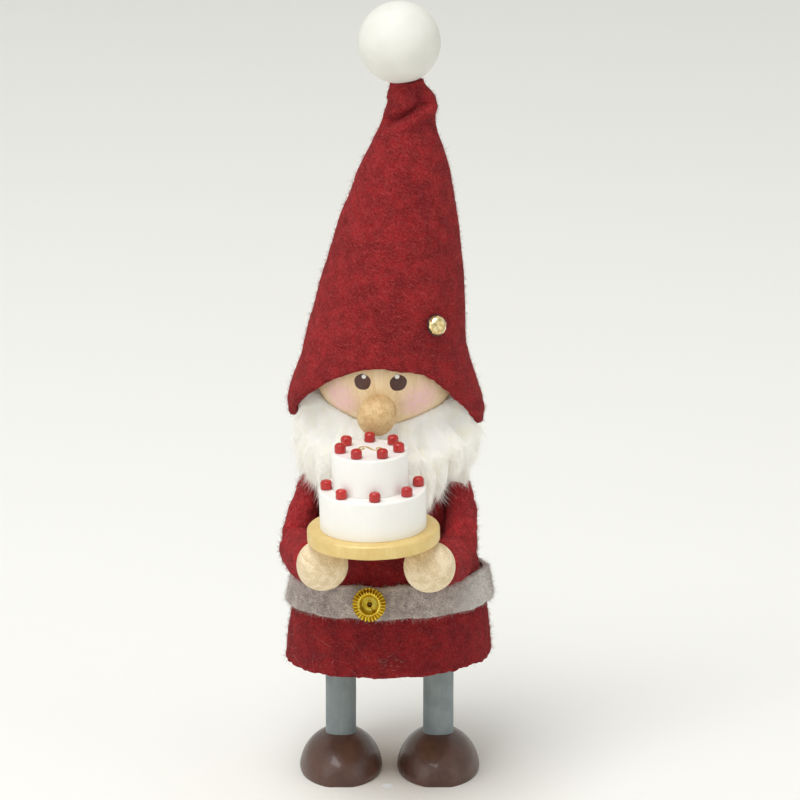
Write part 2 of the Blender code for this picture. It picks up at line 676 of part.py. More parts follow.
def arm_route(side, sleeve):
    """(sleeve points, hand centre, wire points, hand's direction) of one arm; side -1 is the left."""
    hand_x = side * HAND_SPACING / 2
    under_tray = TRAY_Z + hand_x * math.sin(math.radians(TRAY_TILT)) - TRAY_THICK / 2
    hand = np.array([hand_x, -tray_forward(), under_tray - GAP - HAND_R])
    points = [
        round_front(side * math.radians(turn), coat_radius(ARM_Z + rise) + stand, ARM_Z + rise)
        for turn, stand, rise in sleeve
    ]
    towards = unit(hand - points[-1])
    wrist = hand - towards * SLEEVE_TO_HAND
    coat_side = coat_radius(ARM_Z)
    in_core = [np.array([side * x, ARM_Y, ARM_Z]) for x in (0.0, coat_side / 2, coat_side)]
    bend = np.array([side * (abs(points[0][0]) + 0.9), points[0][1] - 0.9, ARM_Z - 1.6])
    return points + [wrist], hand, in_core + [bend] + points[1:] + [wrist, hand], towards


def make_arms(body, paint):
    """Hands, felt sleeves lying on the coat, and the one wire that holds them up."""
    routes = {"left": arm_route(-1, LEFT_SLEEVE), "right": arm_route(1, RIGHT_SLEEVE)}
    left, right = routes["left"][2], routes["right"][2]
    wire_path = smooth_path(left[:0:-1] + right, 3)
    wire = tube_rings(wire_path, WIRE_R, WIRE_R, (0.02, 0.05, 1.0), 6)
    lofted("arm_wire", wire, paint["steel_wire"], body)

    for name, (points, hand, wire_points, towards) in routes.items():
        side = -1 if name == "left" else 1
        path = smooth_path(points, 3)
        t = np.linspace(0, 1, len(path))
        thick = SLEEVE_THICK_SHOULDER + (SLEEVE_THICK_WRIST - SLEEVE_THICK_SHOULDER) * t**0.8
        rounded = np.sqrt(1 - np.clip(1 - t * 7, 0, 0.95) ** 2)
        rings = tube_rings(path, thick * rounded, SLEEVE_WIDTH * rounded, (side, 0, 0), 12)
        sleeve = lofted(f"sleeve_{name}", rings, paint["red_felt"], body)
        clear = smooth_path(wire_points + [hand + towards * 3], 3)
        channel = tube_rings(clear, WIRE_R + GAP, WIRE_R + GAP, (0.02, 0.05, 1.0), 6)
        coat_room = [
            (coat_radius(z) + GAP, z) for z in np.linspace(COAT_TOP, COAT_HEM_Z, 8)
        ]
        coat_room = [(0, COAT_TOP)] + coat_room + [(0, COAT_HEM_Z)]
        hand_room = [(0, HAND_R + GAP)] + arc(0, 0, HAND_R + GAP, 90, -90, 9)[1:-1] + [(0, -HAND_R - GAP)]
        cut(
            sleeve,
            turned(f"coat_room_{name}", coat_room, None, body, sides=FELT_SIDES),
            lofted(f"wire_channel_{name}", channel, None, body),
            turned(f"hand_room_{name}", hand_room, None, body, hand, sides=16),
        )
        turn = Vector(towards).to_track_quat("Z", "Y").to_euler()
        ball = bored_ball_profile(HAND_R, WIRE_R + GAP, GAP, 9)
        turn = [math.degrees(a) for a in turn]
        turned(f"hand_{name}", ball, paint["bare_wood"], body, hand, turn, sides=20)


def centre_on_origin(root):
    """Move the gnome so that the middle of its footprint box is the origin, at ground level."""
    depsgraph = bpy.context.evaluated_depsgraph_get()
    depsgraph.update()
    low, high = Vector((1e9,) * 3), Vector((-1e9,) * 3)
    for obj in bpy.data.objects:
        if obj.type != "MESH" or obj.hide_render:
            continue
        placed = obj.evaluated_get(depsgraph)
        for vertex in placed.data.vertices:
            point = placed.matrix_world @ vertex.co
            low = Vector(map(min, low, point))
            high = Vector(map(max, high, point))
    root.location.x -= (low.x + high.x) / 2
    root.location.y -= (low.y + high.y) / 2


def main():
    """Build every piece of the gnome."""
    clear_scene()
    paint = make_finishes()
    root = empty("gnome")
    body = empty("body", root, turn=(0, 0, BODY_TURN))
    make_feet(root, paint)
    make_core(root, body, paint)
    make_coat(body, paint)
    make_belt(body, paint)
    make_head(body, paint)
    make_beard(body, paint)
    make_hat(body, paint)
    make_cake(body, paint)
    make_arms(body, paint)
    centre_on_origin(root)


main()
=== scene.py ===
# %% [markdown]
# # A felt gnome with a cake on a tray
#
# The figure is a row of turned wooden balls and pegs in clothes of felt. This lesson gives it its
# looks: soft felt with loose fibres, a fleece beard, bare and painted wood, gold foil and a crystal.
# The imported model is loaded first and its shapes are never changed. Each visible piece is then
# made again as a finer surface, worked out with numpy in the place of the plain solid it stands for.

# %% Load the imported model
import math

import bpy
import numpy as np
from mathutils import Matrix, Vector


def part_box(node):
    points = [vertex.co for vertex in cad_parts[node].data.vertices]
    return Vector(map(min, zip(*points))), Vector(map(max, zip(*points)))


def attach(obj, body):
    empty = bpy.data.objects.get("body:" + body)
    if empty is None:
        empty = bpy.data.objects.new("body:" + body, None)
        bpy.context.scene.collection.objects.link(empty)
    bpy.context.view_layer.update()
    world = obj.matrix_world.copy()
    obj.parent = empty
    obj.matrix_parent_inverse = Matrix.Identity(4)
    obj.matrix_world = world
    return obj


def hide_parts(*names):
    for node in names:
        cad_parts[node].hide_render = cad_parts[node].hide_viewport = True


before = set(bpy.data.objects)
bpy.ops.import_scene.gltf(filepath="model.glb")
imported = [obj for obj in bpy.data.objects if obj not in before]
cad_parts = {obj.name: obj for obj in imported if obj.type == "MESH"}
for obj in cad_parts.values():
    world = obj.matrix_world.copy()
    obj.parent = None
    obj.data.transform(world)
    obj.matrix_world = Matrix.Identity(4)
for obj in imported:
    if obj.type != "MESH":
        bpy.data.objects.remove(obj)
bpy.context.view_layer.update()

MM = 0.001
print("loaded", len(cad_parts), "solids")

# %% [markdown]
# ## Where everything stands
#
# The legs stand square to the ground, and the body above them is turned a few degrees. All shapes
# below are worked out in millimetres about the body's own axis, looking along -Y, and are turned
# and moved to their place at the end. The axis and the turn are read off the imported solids.


# %% The body's own axis and turn
def box_mm(node):
    """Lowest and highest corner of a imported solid, in millimetres."""
    low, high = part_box(node)
    return np.array(low) / MM, np.array(high) / MM


def middle(node):
    """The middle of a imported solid's box."""
    low, high = box_mm(node)
    return (low + high) / 2


AXIS = (middle("leg_left") + middle("leg_right")) / 2
towards_tray = middle("tray") - AXIS
TURN = math.atan2(towards_tray[0], -towards_tray[1])


def to_row(points):
    """Body millimetres to metres in the row's frame: turned by TURN about Z, then moved to AXIS."""
    x, y, z = np.moveaxis(np.asarray(points, float), -1, 0)
    c, s = math.cos(TURN), math.sin(TURN)
    return np.stack([AXIS[0] + c * x - s * y, AXIS[1] + s * x + c * y, z], axis=-1) * MM


def to_body(points):
    """The other way round: row millimetres to the body's own millimetres."""
    x, y, z = np.moveaxis(np.asarray(points, float), -1, 0)
    x, y = x - AXIS[0], y - AXIS[1]
    c, s = math.cos(TURN), math.sin(TURN)
    return np.stack([c * x + s * y, -s * x + c * y, z], axis=-1)


def in_body(node):
    """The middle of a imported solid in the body's own millimetres."""
    return to_body(middle(node))


print("axis", AXIS.round(2), "turn in degrees", round(math.degrees(TURN), 2))

# %% [markdown]
# ## Meshes from grids
#
# Almost every piece is a grid: rings of points, one after another, with a four-sided face between
# neighbours and a fan that closes each end. The faces of a closed mesh point outwards when its
# signed volume is positive, so that one sum tells whether they all have to be turned round.


# %% Grid to mesh
def skin(rings, wrap=False):
    """Points and faces of rings (R, C, 3): each end gets a fan, or with wrap the last ring meets
    the first."""
    rings = np.asarray(rings, float)
    rows, columns = rings.shape[:2]
    index = np.arange(rows * columns).reshape(rows, columns)
    beside = np.roll(index, -1, axis=1)
    points = rings.reshape(-1, 3)
    if wrap:
        corners = [index, beside, np.roll(beside, -1, axis=0), np.roll(index, -1, axis=0)]
        return points, np.stack(corners, axis=-1).reshape(-1, 4), np.zeros((0, 3), int)
    quads = np.stack([index[:-1], beside[:-1], beside[1:], index[1:]], axis=-1).reshape(-1, 4)
    points = np.vstack([points, rings[0].mean(axis=0), rings[-1].mean(axis=0)])
    first = np.stack([beside[0], index[0], np.full(columns, rows * columns)], axis=-1)
    last = np.stack([index[-1], beside[-1], np.full(columns, rows * columns + 1)], axis=-1)
    return points, quads, np.vstack([first, last])


# %% Adding a piece
def signed_volume(points, triangles):
    """Sum of the tetrahedra between the origin and each triangle: positive if they face outwards."""
    a, b, c = (points[triangles[:, k]] for k in range(3))
    return float((a * np.cross(b, c)).sum()) / 6


def add_mesh(name, points, quads, triangles, material, replaces=(), tone=None, corner=60):
    """One piece from points in metres in the row's frame, smooth but for edges sharper than corner
    degrees. tone is one number per point for its material to read."""
    halves = np.vstack([quads[:, [0, 1, 2]], quads[:, [0, 2, 3]], triangles]).astype(int)
    centred = points - points.mean(axis=0)
    if signed_volume(centred, halves) < 0:
        quads, triangles = quads[:, ::-1], triangles[:, ::-1]
    mesh = bpy.data.meshes.new(name)
    mesh.vertices.add(len(points))
    mesh.vertices.foreach_set("co", points.astype(np.float32).ravel())
    corners = np.concatenate([quads.ravel(), triangles.ravel()]).astype(np.int32)
    mesh.loops.add(len(corners))
    mesh.loops.foreach_set("vertex_index", corners)
    after_quads = 4 * len(quads)
    starts = np.concatenate([np.arange(len(quads)) * 4, after_quads + np.arange(len(triangles)) * 3])
    mesh.polygons.add(len(starts))
    mesh.polygons.foreach_set("loop_start", starts.astype(np.int32))
    mesh.update(calc_edges=True)
    mesh.shade_smooth()
    if corner:
        mesh.set_sharp_from_angle(angle=math.radians(corner))
    if tone is not None:
        values = mesh.attributes.new("tone", "FLOAT", "POINT").data
        values.foreach_set("value", tone.astype(np.float32))
    mesh.materials.append(material)
    piece = bpy.data.objects.new(name, mesh)
    bpy.context.scene.collection.objects.link(piece)
    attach(piece, "root")
    if replaces:
        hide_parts(*replaces)
    print(name, "triangles", len(halves))
    return piece


def add_grid(name, rings, material, replaces=(), wrap=False, corner=60):
    """One piece from rings of points in the body's own millimetres."""
    points, quads, triangles = skin(to_row(rings), wrap)
    return add_mesh(name, points, quads, triangles, material, replaces, corner=corner)


# %% [markdown]
# ## Noise for lumps and wobbles
#
# Handmade felt and fleece are never even. Value noise gives each whole-number place in space a
# repeatable number, mixed from its coordinates, and blends smoothly between the eight nearest.
# It needs no random state, so every run gives the same lumps.


# %% Smooth noise
PRIMES = np.array([73856093, 19349663, 83492791])
SEED_PRIME, MIX_PRIME = 2654435761, 1274126177


def hashed(cell, seed):
    """A number from -1 to 1 for each whole-number place: its coordinates multiplied and mixed."""
    scattered = np.bitwise_xor.reduce(cell * PRIMES, axis=-1) ^ seed * SEED_PRIME
    scattered = (scattered ^ (scattered >> 13)) * MIX_PRIME
    return ((scattered ^ (scattered >> 16)) & 0xFFFF) / 32767.5 - 1


def noise(points, size, seed):
    """Blend of the eight hashed corners round each point, in cells of the size given (one or three)."""
    place = np.asarray(points, float) / size
    cell = np.floor(place).astype(np.int64)
    share = place - cell
    share = share * share * (3 - 2 * share)
    total = 0.0
    for corner in np.ndindex(2, 2, 2):
        weight = np.where(np.array(corner, bool), share, 1 - share).prod(axis=-1)
        total = total + weight * hashed(cell + np.array(corner), seed)
    return total


def layered(points, size, seed):
    """Noise with two finer layers on top, each half as large and half as strong."""
    return sum(noise(points, size / 2**k, seed + k) / 2**k for k in range(3))


sample = noise(np.random.default_rng(1).random((2000, 3)) * 50, 1.0, 0)
print("noise runs from", sample.min().round(2), "to", sample.max().round(2))


# %% Curves and directions
def smoothstep(t):
    """0 below 0, 1 above 1, and an even rise between."""
    t = np.clip(t, 0, 1)
    return t * t * (3 - 2 * t)


def bell(t):
    """A soft bump: 1 at 0, falling to nothing on both sides."""
    return np.exp(-(t**2))


def unit(vectors):
    """The same directions with a length of one."""
    return vectors / np.maximum(np.linalg.norm(vectors, axis=-1, keepdims=True), 1e-9)


def circle(count):
    """Angles once round, without the last."""
    return np.arange(count) * 2 * math.pi / count


def round_front(angle, radius, z, centre_x=0.0):
    """Points round the body's axis: angle 0 is the front (-Y), and it grows towards the right (+X)."""
    angle, radius, z, centre_x = np.broadcast_arrays(angle, radius, z, centre_x)
    return np.stack([centre_x + radius * np.sin(angle), -radius * np.cos(angle), z], axis=-1)


def grid_normals(rings):
    """Outward directions on a grid: the cross product of its two sets of grid lines."""
    along = np.gradient(rings, axis=0)
    around = np.roll(rings, -1, axis=1) - np.roll(rings, 1, axis=1)
    return unit(np.cross(around, along))


print("bell at 0, 1 and 2:", bell(np.arange(3.0)).round(3))

# %% [markdown]
# ## Turned shapes
#
# Balls, pegs, tiers and tray all come off a lathe: a profile of radius and height carried round an
# axis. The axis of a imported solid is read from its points, as the direction in which a flat disc
# has the least spread, so a tilted tray carries its cake with it.


# %% Reading an axis
def cad_points(node):
    """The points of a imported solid, in the body's own millimetres."""
    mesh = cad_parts[node].data
    flat = np.zeros(len(mesh.vertices) * 3, np.float32)
    mesh.vertices.foreach_get("co", flat)
    return to_body(flat.reshape(-1, 3).astype(float) / MM)


def disc_axis(node, towards):
    """The direction in which a solid's points spread least, pointing to the side given."""
    points = cad_points(node)
    direction = np.linalg.svd(points - points.mean(axis=0), full_matrices=False)[2][2]
    return direction * np.sign(direction @ np.asarray(towards, float))


def frame_round(axis):
    """Two directions square to an axis and to each other."""
    axis = unit(np.asarray(axis, float))
    helper = np.array([1.0, 0, 0]) if abs(axis[0]) < 0.9 else np.array([0, 1.0, 0])
    first = unit(helper - axis * (helper @ axis))
    return first, np.cross(axis, first), axis


print("tray's axis", disc_axis("tray", (0, 0, 1)).round(3))


# %% Lathe helpers
def turned(profile, centre, axis=(0, 0, 1), *, sides):
    """Rings of a lathe shape: each (radius, height) of the profile is a circle round the axis."""
    radius, height = np.asarray(profile, float).T
    first, second, axis = frame_round(axis)
    angle = circle(sides)
    spoke = np.cos(angle)[:, None] * first + np.sin(angle)[:, None] * second
    return np.asarray(centre) + height[:, None, None] * axis + radius[:, None, None] * spoke


def arc(centre_r, centre_h, radius, start, end, steps):
    """Points of a profile along a circular arc; 0 degrees points away from the axis, 90 up it."""
    a = np.radians(np.linspace(start, end, steps))
    return np.stack([centre_r + radius * np.cos(a), centre_h + radius * np.sin(a)], axis=-1)


def line(a, b, steps):
    """Points of a profile on a straight stretch, without its ends."""
    return np.linspace(a, b, steps + 2)[1:-1]


print("points on a quarter circle", arc(0, 0, 1, 0, 90, 4).round(2).tolist())

# %% [markdown]
# ## Shader node groups
#
# Two effects are used again and again, so each is a node group with named sockets. Wool fibres are
# noise drawn out long in several directions: where the strands of one direction end, others cross
# them. Wood grain is the same idea with one direction, plus the small dark pores that oiled or
# painted wood keeps. The groups put out only masks and heights, and each material colours them.


# %% Node helpers
def add(tree, kind, **values):
    """A node of the kind given, with its settings and unlinked inputs filled in by name."""
    node = tree.nodes.new(kind)
    for name, value in values.items():
        socket = name.replace("_", " ")
        if socket in node.inputs:
            node.inputs[socket].default_value = value
        else:
            setattr(node, name, value)
    return node


def maths(tree, operation, a, b):
    """A Math node on sockets or numbers; its result socket."""
    node = add(tree, "ShaderNodeMath", operation=operation)
    for socket, value in zip(node.inputs, (a, b)):
        if isinstance(value, (int, float)):
            socket.default_value = value
        else:
            tree.links.new(value, socket)
    return node.outputs[0]


def spread(tree, value, low, high, to_low=0.0, to_high=1.0):
    """A Map Range node: low becomes to_low and high becomes to_high, smoothly between."""
    node = add(tree, "ShaderNodeMapRange", interpolation_type="SMOOTHSTEP")
    for socket, number in zip(list(node.inputs)[1:5], (low, high, to_low, to_high)):
        socket.default_value = number
    tree.links.new(value, node.inputs[0])
    return node.outputs[0]


def mixed(tree, share, a, b):
    """A colour Mix node on sockets or (r, g, b); its result socket."""
    node = add(tree, "ShaderNodeMix", data_type="RGBA")
    for socket, value in ((node.inputs[0], share), (node.inputs[6], a), (node.inputs[7], b)):
        if isinstance(value, (int, float)):
            socket.default_value = value
        elif isinstance(value, tuple):
            socket.default_value = (*value, 1.0)
        else:
            tree.links.new(value, socket)
    return node.outputs[2]


def srgb(red, green, blue):
    """A screen colour from 0 to 255 as the linear numbers that a shader takes."""
    return tuple(round((v / 255 / 12.92) if v <= 10 else ((v / 255 + 0.055) / 1.055) ** 2.4, 4)
                 for v in (red, green, blue))


def stretched_noise(tree, vector, turn, size, detail=2.0, warp=None):
    """A Noise texture with cells of the (x, y, z) size given in metres, turned by turn in degrees."""
    rotate = add(tree, "ShaderNodeVectorRotate", rotation_type="EULER_XYZ")
    rotate.inputs["Rotation"].default_value = [math.radians(a) for a in turn]
    tree.links.new(vector, rotate.inputs["Vector"])
    scale = add(tree, "ShaderNodeVectorMath", operation="DIVIDE")
    scale.inputs[1].default_value = size
    tree.links.new(rotate.outputs[0], scale.inputs[0])
    texture = add(tree, "ShaderNodeTexNoise", Scale=1.0, Detail=detail, Roughness=0.55)
    if warp:
        texture.inputs["Distortion"].default_value = warp
    tree.links.new(scale.outputs[0], texture.inputs["Vector"])
    return texture.outputs[0]


print("mid grey as a shader takes it", srgb(128, 128, 128))


# %% Node group helper
def new_group(name, outputs):
    """An empty node group with a Vector and a Size input: its tree, scaled vector and output node."""
    tree = bpy.data.node_groups.new(name, "ShaderNodeTree")
    tree.interface.new_socket("Vector", in_out="INPUT", socket_type="NodeSocketVector")
    tree.interface.new_socket("Size", in_out="INPUT", socket_type="NodeSocketFloat")
    for output in outputs:
        tree.interface.new_socket(output, in_out="OUTPUT", socket_type="NodeSocketFloat")
    start, end = tree.nodes.new("NodeGroupInput"), tree.nodes.new("NodeGroupOutput")
    scaled = add(tree, "ShaderNodeVectorMath", operation="SCALE")
    tree.links.new(start.outputs["Vector"], scaled.inputs[0])
    tree.links.new(maths(tree, "DIVIDE", 1.0, start.outputs["Size"]), scaled.inputs["Scale"])
    return tree, scaled.outputs[0], end


# %% The wool fibre group
STRAND_TURNS = [(12, 35, 8), (62, 100, 40), (35, -30, 95), (-48, 60, 150), (85, 15, 60)]  # degrees
STRAND_SIZE = (1.0, 9.0, 1.0)  # in fibre thicknesses


def wool_group():
    """Strands and Gaps: the brightest and darkest of five long noises in five directions.
    Patches: broad soft noise."""
    tree, vector, end = new_group("wool fibres", ["Strands", "Gaps", "Patches"])
    brightest, darkest = None, None
    for turn in STRAND_TURNS:
        strand = stretched_noise(tree, vector, turn, STRAND_SIZE, warp=0.6)
        brightest = strand if brightest is None else maths(tree, "MAXIMUM", brightest, strand)
        darkest = strand if darkest is None else maths(tree, "MINIMUM", darkest, strand)
    tree.links.new(spread(tree, brightest, 0.56, 0.76), end.inputs["Strands"])
    tree.links.new(spread(tree, darkest, 0.40, 0.24), end.inputs["Gaps"])
    patches = stretched_noise(tree, vector, (20, 10, 30), (26.0, 26.0, 26.0), detail=3.0)
    tree.links.new(spread(tree, patches, 0.3, 0.7), end.inputs["Patches"])
    return tree


# %% The wood grain group
def wood_group():
    """Grain: noise drawn out along Z. Rings: a slow wave across it. Pores: thin dark gaps along it."""
    tree, vector, end = new_group("wood grain", ["Grain", "Rings", "Pores"])
    grain = stretched_noise(tree, vector, (3, 2, 0), (1.0, 1.0, 26.0), detail=4.0)
    rings = stretched_noise(tree, vector, (2, 4, 0), (7.0, 7.0, 90.0), detail=2.0, warp=0.4)
    pores = stretched_noise(tree, vector, (1, 2, 0), (0.7, 0.7, 7.0), detail=1.0)
    tree.links.new(spread(tree, grain, 0.3, 0.7), end.inputs["Grain"])
    tree.links.new(spread(tree, rings, 0.35, 0.65), end.inputs["Rings"])
    tree.links.new(spread(tree, pores, 0.66, 0.78), end.inputs["Pores"])
    return tree


WOOL = wool_group()
WOOD = wood_group()
print("node groups", [group.name for group in (WOOL, WOOD)])


# %% Starting a material
def start(name, roughness, **shader_values):
    """A new material: its tree, its Principled shader and its Object coordinates. shader_values are
    the shader's sockets by name, with underscores for spaces."""
    material = bpy.data.materials.new(name)
    material.use_nodes = True
    tree = material.node_tree
    shader = tree.nodes["Principled BSDF"]
    shader.inputs["Roughness"].default_value = roughness
    for key, value in shader_values.items():
        shader.inputs[key.replace("_", " ")].default_value = value
    return material, tree, shader, add(tree, "ShaderNodeTexCoord").outputs["Object"]


def use_group(tree, group, vector, size):
    """Place a node group in a material with its own size in metres."""
    node = add(tree, "ShaderNodeGroup", node_tree=group)
    node.inputs["Size"].default_value = size
    tree.links.new(vector, node.inputs["Vector"])
    return node.outputs


def bump(tree, shader, height, distance, strength=1.0):
    """A Bump node from a height to the shader's normal; distance in metres."""
    node = add(tree, "ShaderNodeBump", Strength=strength, Distance=distance)
    tree.links.new(height, node.inputs["Height"])
    tree.links.new(node.outputs[0], shader.inputs["Normal"])


def soft_spot(tree, vector, place, size):
    """A mask that is 1 at a place in body millimetres and fades to 0 at the (x, y, z) size."""
    away = add(tree, "ShaderNodeVectorMath", operation="SUBTRACT")
    away.inputs[1].default_value = to_row(place)
    tree.links.new(vector, away.inputs[0])
    scaled = add(tree, "ShaderNodeVectorMath", operation="DIVIDE")
    scaled.inputs[1].default_value = [s * MM for s in size]
    tree.links.new(away.outputs[0], scaled.inputs[0])
    length = add(tree, "ShaderNodeVectorMath", operation="LENGTH")
    tree.links.new(scaled.outputs[0], length.inputs[0])
    return spread(tree, length.outputs["Value"], 1.0, 0.25)


def mottled(name, one, other, size, roughness, turn=(0, 0, 0), edge=None, depth=None, **shader_values):
    """A plain finish: two tones by a noise with cells of the size given in metres. edge gives the
    patches firm outlines, and depth in metres raises them."""
    material, tree, shader, vector = start(name, roughness, **shader_values)
    patches = stretched_noise(tree, vector, turn, size)
    share = spread(tree, patches, *edge) if edge else patches
    tree.links.new(mixed(tree, share, one, other), shader.inputs["Base Color"])
    if depth:
        bump(tree, shader, patches, depth)
    return material


for group in (WOOL, WOOD):
    print(group.name, "gives", [item.name for item in group.interface.items_tree if item.in_out == "OUTPUT"])

# %% [markdown]
# ## Felt
#
# The hat, coat and sleeves are crimson wool felt, about a millimetre and a half thick. Close up it
# is a mat of crossing fibres: most crimson, some nearly black, a few pale pink ones on top. It is
# one felt, with painted light: the coat takes a copy painted darker as painted shade, and the
# sleeves a copy painted lighter where they face the light from above. The belt is undyed grey
# wool, with a pale spot of painted light at the end that stands off at the side. A sheen on the
# shader gives the soft light edge of a fuzzy cloth.


# %% Felt materials
FIBRE = 0.00011  # thickness of a strand in the felt's pattern, in metres
CLUMP = 2.5 * FIBRE


def felt(name, base, dark, pale, shade, fleck=0.8, lit_spot=None):
    """Felt: base mixed to shade in broad patches, dark in the gaps and pale on the top strands,
    once for the clumps that fibres form and once for the fibres. lit_spot is a place painted paler
    as painted light, and its reach."""
    material, tree, shader, vector = start(
        name, 0.95, Specular_IOR_Level=0.15, Sheen_Weight=0.12, Sheen_Roughness=0.4, Sheen_Tint=(*pale, 1.0))
    wool = use_group(tree, WOOL, vector, FIBRE)
    clumps = use_group(tree, WOOL, vector, CLUMP)
    colour = mixed(tree, wool["Patches"], base, shade)
    layers = [(clumps["Gaps"], fleck, dark), (clumps["Strands"], fleck * 0.7, pale),
              (wool["Gaps"], 0.85, dark), (wool["Strands"], 0.5, pale)]
    # painted light: a paler spot mixed in at the place given
    if lit_spot:
        layers.append((soft_spot(tree, vector, *lit_spot), 0.95, pale))
    for mask, share, tone in layers:
        colour = mixed(tree, maths(tree, "MULTIPLY", mask, share), colour, tone)
    tree.links.new(colour, shader.inputs["Base Color"])
    bump(tree, shader, maths(tree, "SUBTRACT", wool["Strands"], wool["Gaps"]), 0.00012, 0.9)
    return material


def fibre_wool(name, dark, pale, sheen):
    """Loose fibres: each has its own tone between dark and pale, from the mesh's tone attribute."""
    material, tree, shader, vector = start(name, 0.85, Specular_IOR_Level=0.2, Sheen_Weight=sheen)
    tone = add(tree, "ShaderNodeAttribute", attribute_name="tone").outputs["Fac"]
    fleck = use_group(tree, WOOL, vector, 0.0001)["Patches"]
    share = maths(tree, "ADD", maths(tree, "MULTIPLY", tone, 0.85), maths(tree, "MULTIPLY", fleck, 0.15))
    tree.links.new(mixed(tree, share, dark, pale), shader.inputs["Base Color"])
    return material


# %% The felts and their loose fibres
HAT_RED = felt("crimson felt", srgb(180, 35, 41), srgb(78, 10, 16), srgb(210, 94, 94), srgb(134, 19, 27))
# painted shade: the coat takes a darker copy of the same felt
COAT_RED_SHADED = felt("crimson coat felt darkened as painted shade", srgb(170, 30, 36), srgb(70, 8, 14), srgb(198, 84, 85),
                srgb(122, 16, 24))
# painted light: the sleeves take a lighter copy of the same felt, where they face the light from above
SLEEVE_RED_LIT = felt("crimson sleeve felt lightened as painted light", srgb(196, 39, 46), srgb(86, 12, 18), srgb(224, 104, 104),
                  srgb(148, 22, 30))
# painted light: the belt's end that stands off the coat is painted paler, where it catches more light
BELT_LIT_SPOT = ((19.5, -6.0, 37.5), (10.0, 15.0, 9.0))  # the place and its reach, in millimetres
BELT_GREY = felt("grey felt", srgb(250, 236, 224), srgb(118, 98, 100), srgb(252, 248, 242),
                 srgb(186, 166, 162), fleck=1.1, lit_spot=BELT_LIT_SPOT)
RED_FIBRE = fibre_wool("crimson wool fibre", srgb(100, 14, 22), srgb(192, 70, 72), sheen=0.1)
GREY_FIBRE = fibre_wool("grey wool fibre", srgb(150, 134, 132), srgb(240, 232, 224), sheen=0.1)
PALE_HAIR = fibre_wool("stray pale hair", srgb(150, 96, 92), srgb(222, 200, 190), sheen=0.1)
print("felts and fibres", [material.name for material in bpy.data.materials])

# %% [markdown]
# ## Bare wood and painted wood
#
# The head, nose and hands are bare pale wood, turned and sanded: the head shows upright grain and
# a blush rubbed into both cheeks, and the nose is a darker end of a peg. The ball, cake, legs and
# shoes are painted, so the grain only shows as faint bumps under the paint.

# %% Head, cheeks and face features in the body's own frame
HEAD = in_body("head")
HEAD_R = 14.0
HEAD[2] = box_mm("head")[1][2] - HEAD_R  # the neck socket cuts the lowest point off the ball


def on_head(turn, up):
    """A point on the head: turn degrees to the right of the front and up degrees above level."""
    turn, up = math.radians(turn), math.radians(up)
    flat = HEAD_R * math.cos(up)
    return HEAD + np.array([flat * math.sin(turn), -flat * math.cos(turn), HEAD_R * math.sin(up)])


CHEEKS = [on_head(-35, -18), on_head(35, -18)]
CHEEK_SIZE = (5.6, 5.6, 5.2)  # reach of the blush along X, Y and Z
print("head centre", HEAD.round(2), "cheeks", [c.round(1).tolist() for c in CHEEKS])


# %% Wood materials
def bare_wood(name, pale, tan, pore, size=0.00022, blush=(), turn=(0, 0, 0), pore_share=0.5):
    """Sanded wood: pale mixed to tan by grain and rings, dark pores, and rubbed-in blush if asked."""
    material, tree, shader, vector = start(name, 0.58, Specular_IOR_Level=0.35)
    rotate = add(tree, "ShaderNodeVectorRotate", rotation_type="EULER_XYZ")
    rotate.inputs["Rotation"].default_value = [math.radians(a) for a in turn]
    tree.links.new(vector, rotate.inputs["Vector"])
    wood = use_group(tree, WOOD, rotate.outputs[0], size)
    share = maths(tree, "ADD", maths(tree, "MULTIPLY", wood["Grain"], 0.6),
                  maths(tree, "MULTIPLY", wood["Rings"], 0.4))
    colour = mixed(tree, share, pale, tan)
    if blush:
        masks = [soft_spot(tree, vector, place, CHEEK_SIZE) for place in CHEEKS]
        rubbed = maths(tree, "MAXIMUM", *masks)
        streaks = spread(tree, wood["Grain"], 0.2, 0.8, 1.0, 0.3)
        rubbed = maths(tree, "MULTIPLY", rubbed, streaks)
        colour = mixed(tree, maths(tree, "MULTIPLY", rubbed, 0.9), colour, blush)
    colour = mixed(tree, maths(tree, "MULTIPLY", wood["Pores"], pore_share), colour, pore)
    tree.links.new(colour, shader.inputs["Base Color"])
    tree.links.new(spread(tree, wood["Grain"], 0.0, 1.0, 0.5, 0.66), shader.inputs["Roughness"])
    height = maths(tree, "SUBTRACT", maths(tree, "MULTIPLY", wood["Grain"], 0.5), wood["Pores"])
    bump(tree, shader, height, 0.00003, 0.5)
    return material


# %% Paint over wood
PAINTED_GRAIN = 0.00025  # width of the grain under the paint, in metres


def paint(name, colour, shade, roughness, coat=0.0, metallic=0.0, speck=None, lumps=0.00002, band=None):
    """Two close tones in patches, brush unevenness as bumps lumps metres deep, and if asked a tone
    that follows the grain (band) and specks."""
    material, tree, shader, vector = start(
        name, roughness, Metallic=metallic, Coat_Weight=coat, Coat_Roughness=0.12)
    wood = use_group(tree, WOOD, vector, PAINTED_GRAIN)
    broad = stretched_noise(tree, vector, (10, 20, 30), (0.004, 0.004, 0.004), detail=3.0)
    tint = mixed(tree, spread(tree, broad, 0.3, 0.7), colour, shade)
    if band:
        tint = mixed(tree, maths(tree, "MULTIPLY", wood["Grain"], 0.35), tint, band)
    if speck:
        dots = stretched_noise(tree, vector, (0, 0, 0), (0.00016, 0.00016, 0.00016), detail=1.0)
        tint = mixed(tree, spread(tree, dots, 0.7, 0.78), tint, speck)
    tree.links.new(tint, shader.inputs["Base Color"])
    fine = stretched_noise(tree, vector, (0, 0, 0), (0.0003, 0.0003, 0.0003), detail=3.0)
    tree.links.new(spread(tree, fine, 0.3, 0.7, roughness - 0.06, roughness + 0.08),
                   shader.inputs["Roughness"])
    brushed = maths(tree, "MULTIPLY", fine, 0.6)
    height = maths(tree, "ADD", brushed, maths(tree, "MULTIPLY", wood["Grain"], 0.5))
    bump(tree, shader, height, lumps, 0.7)
    return material


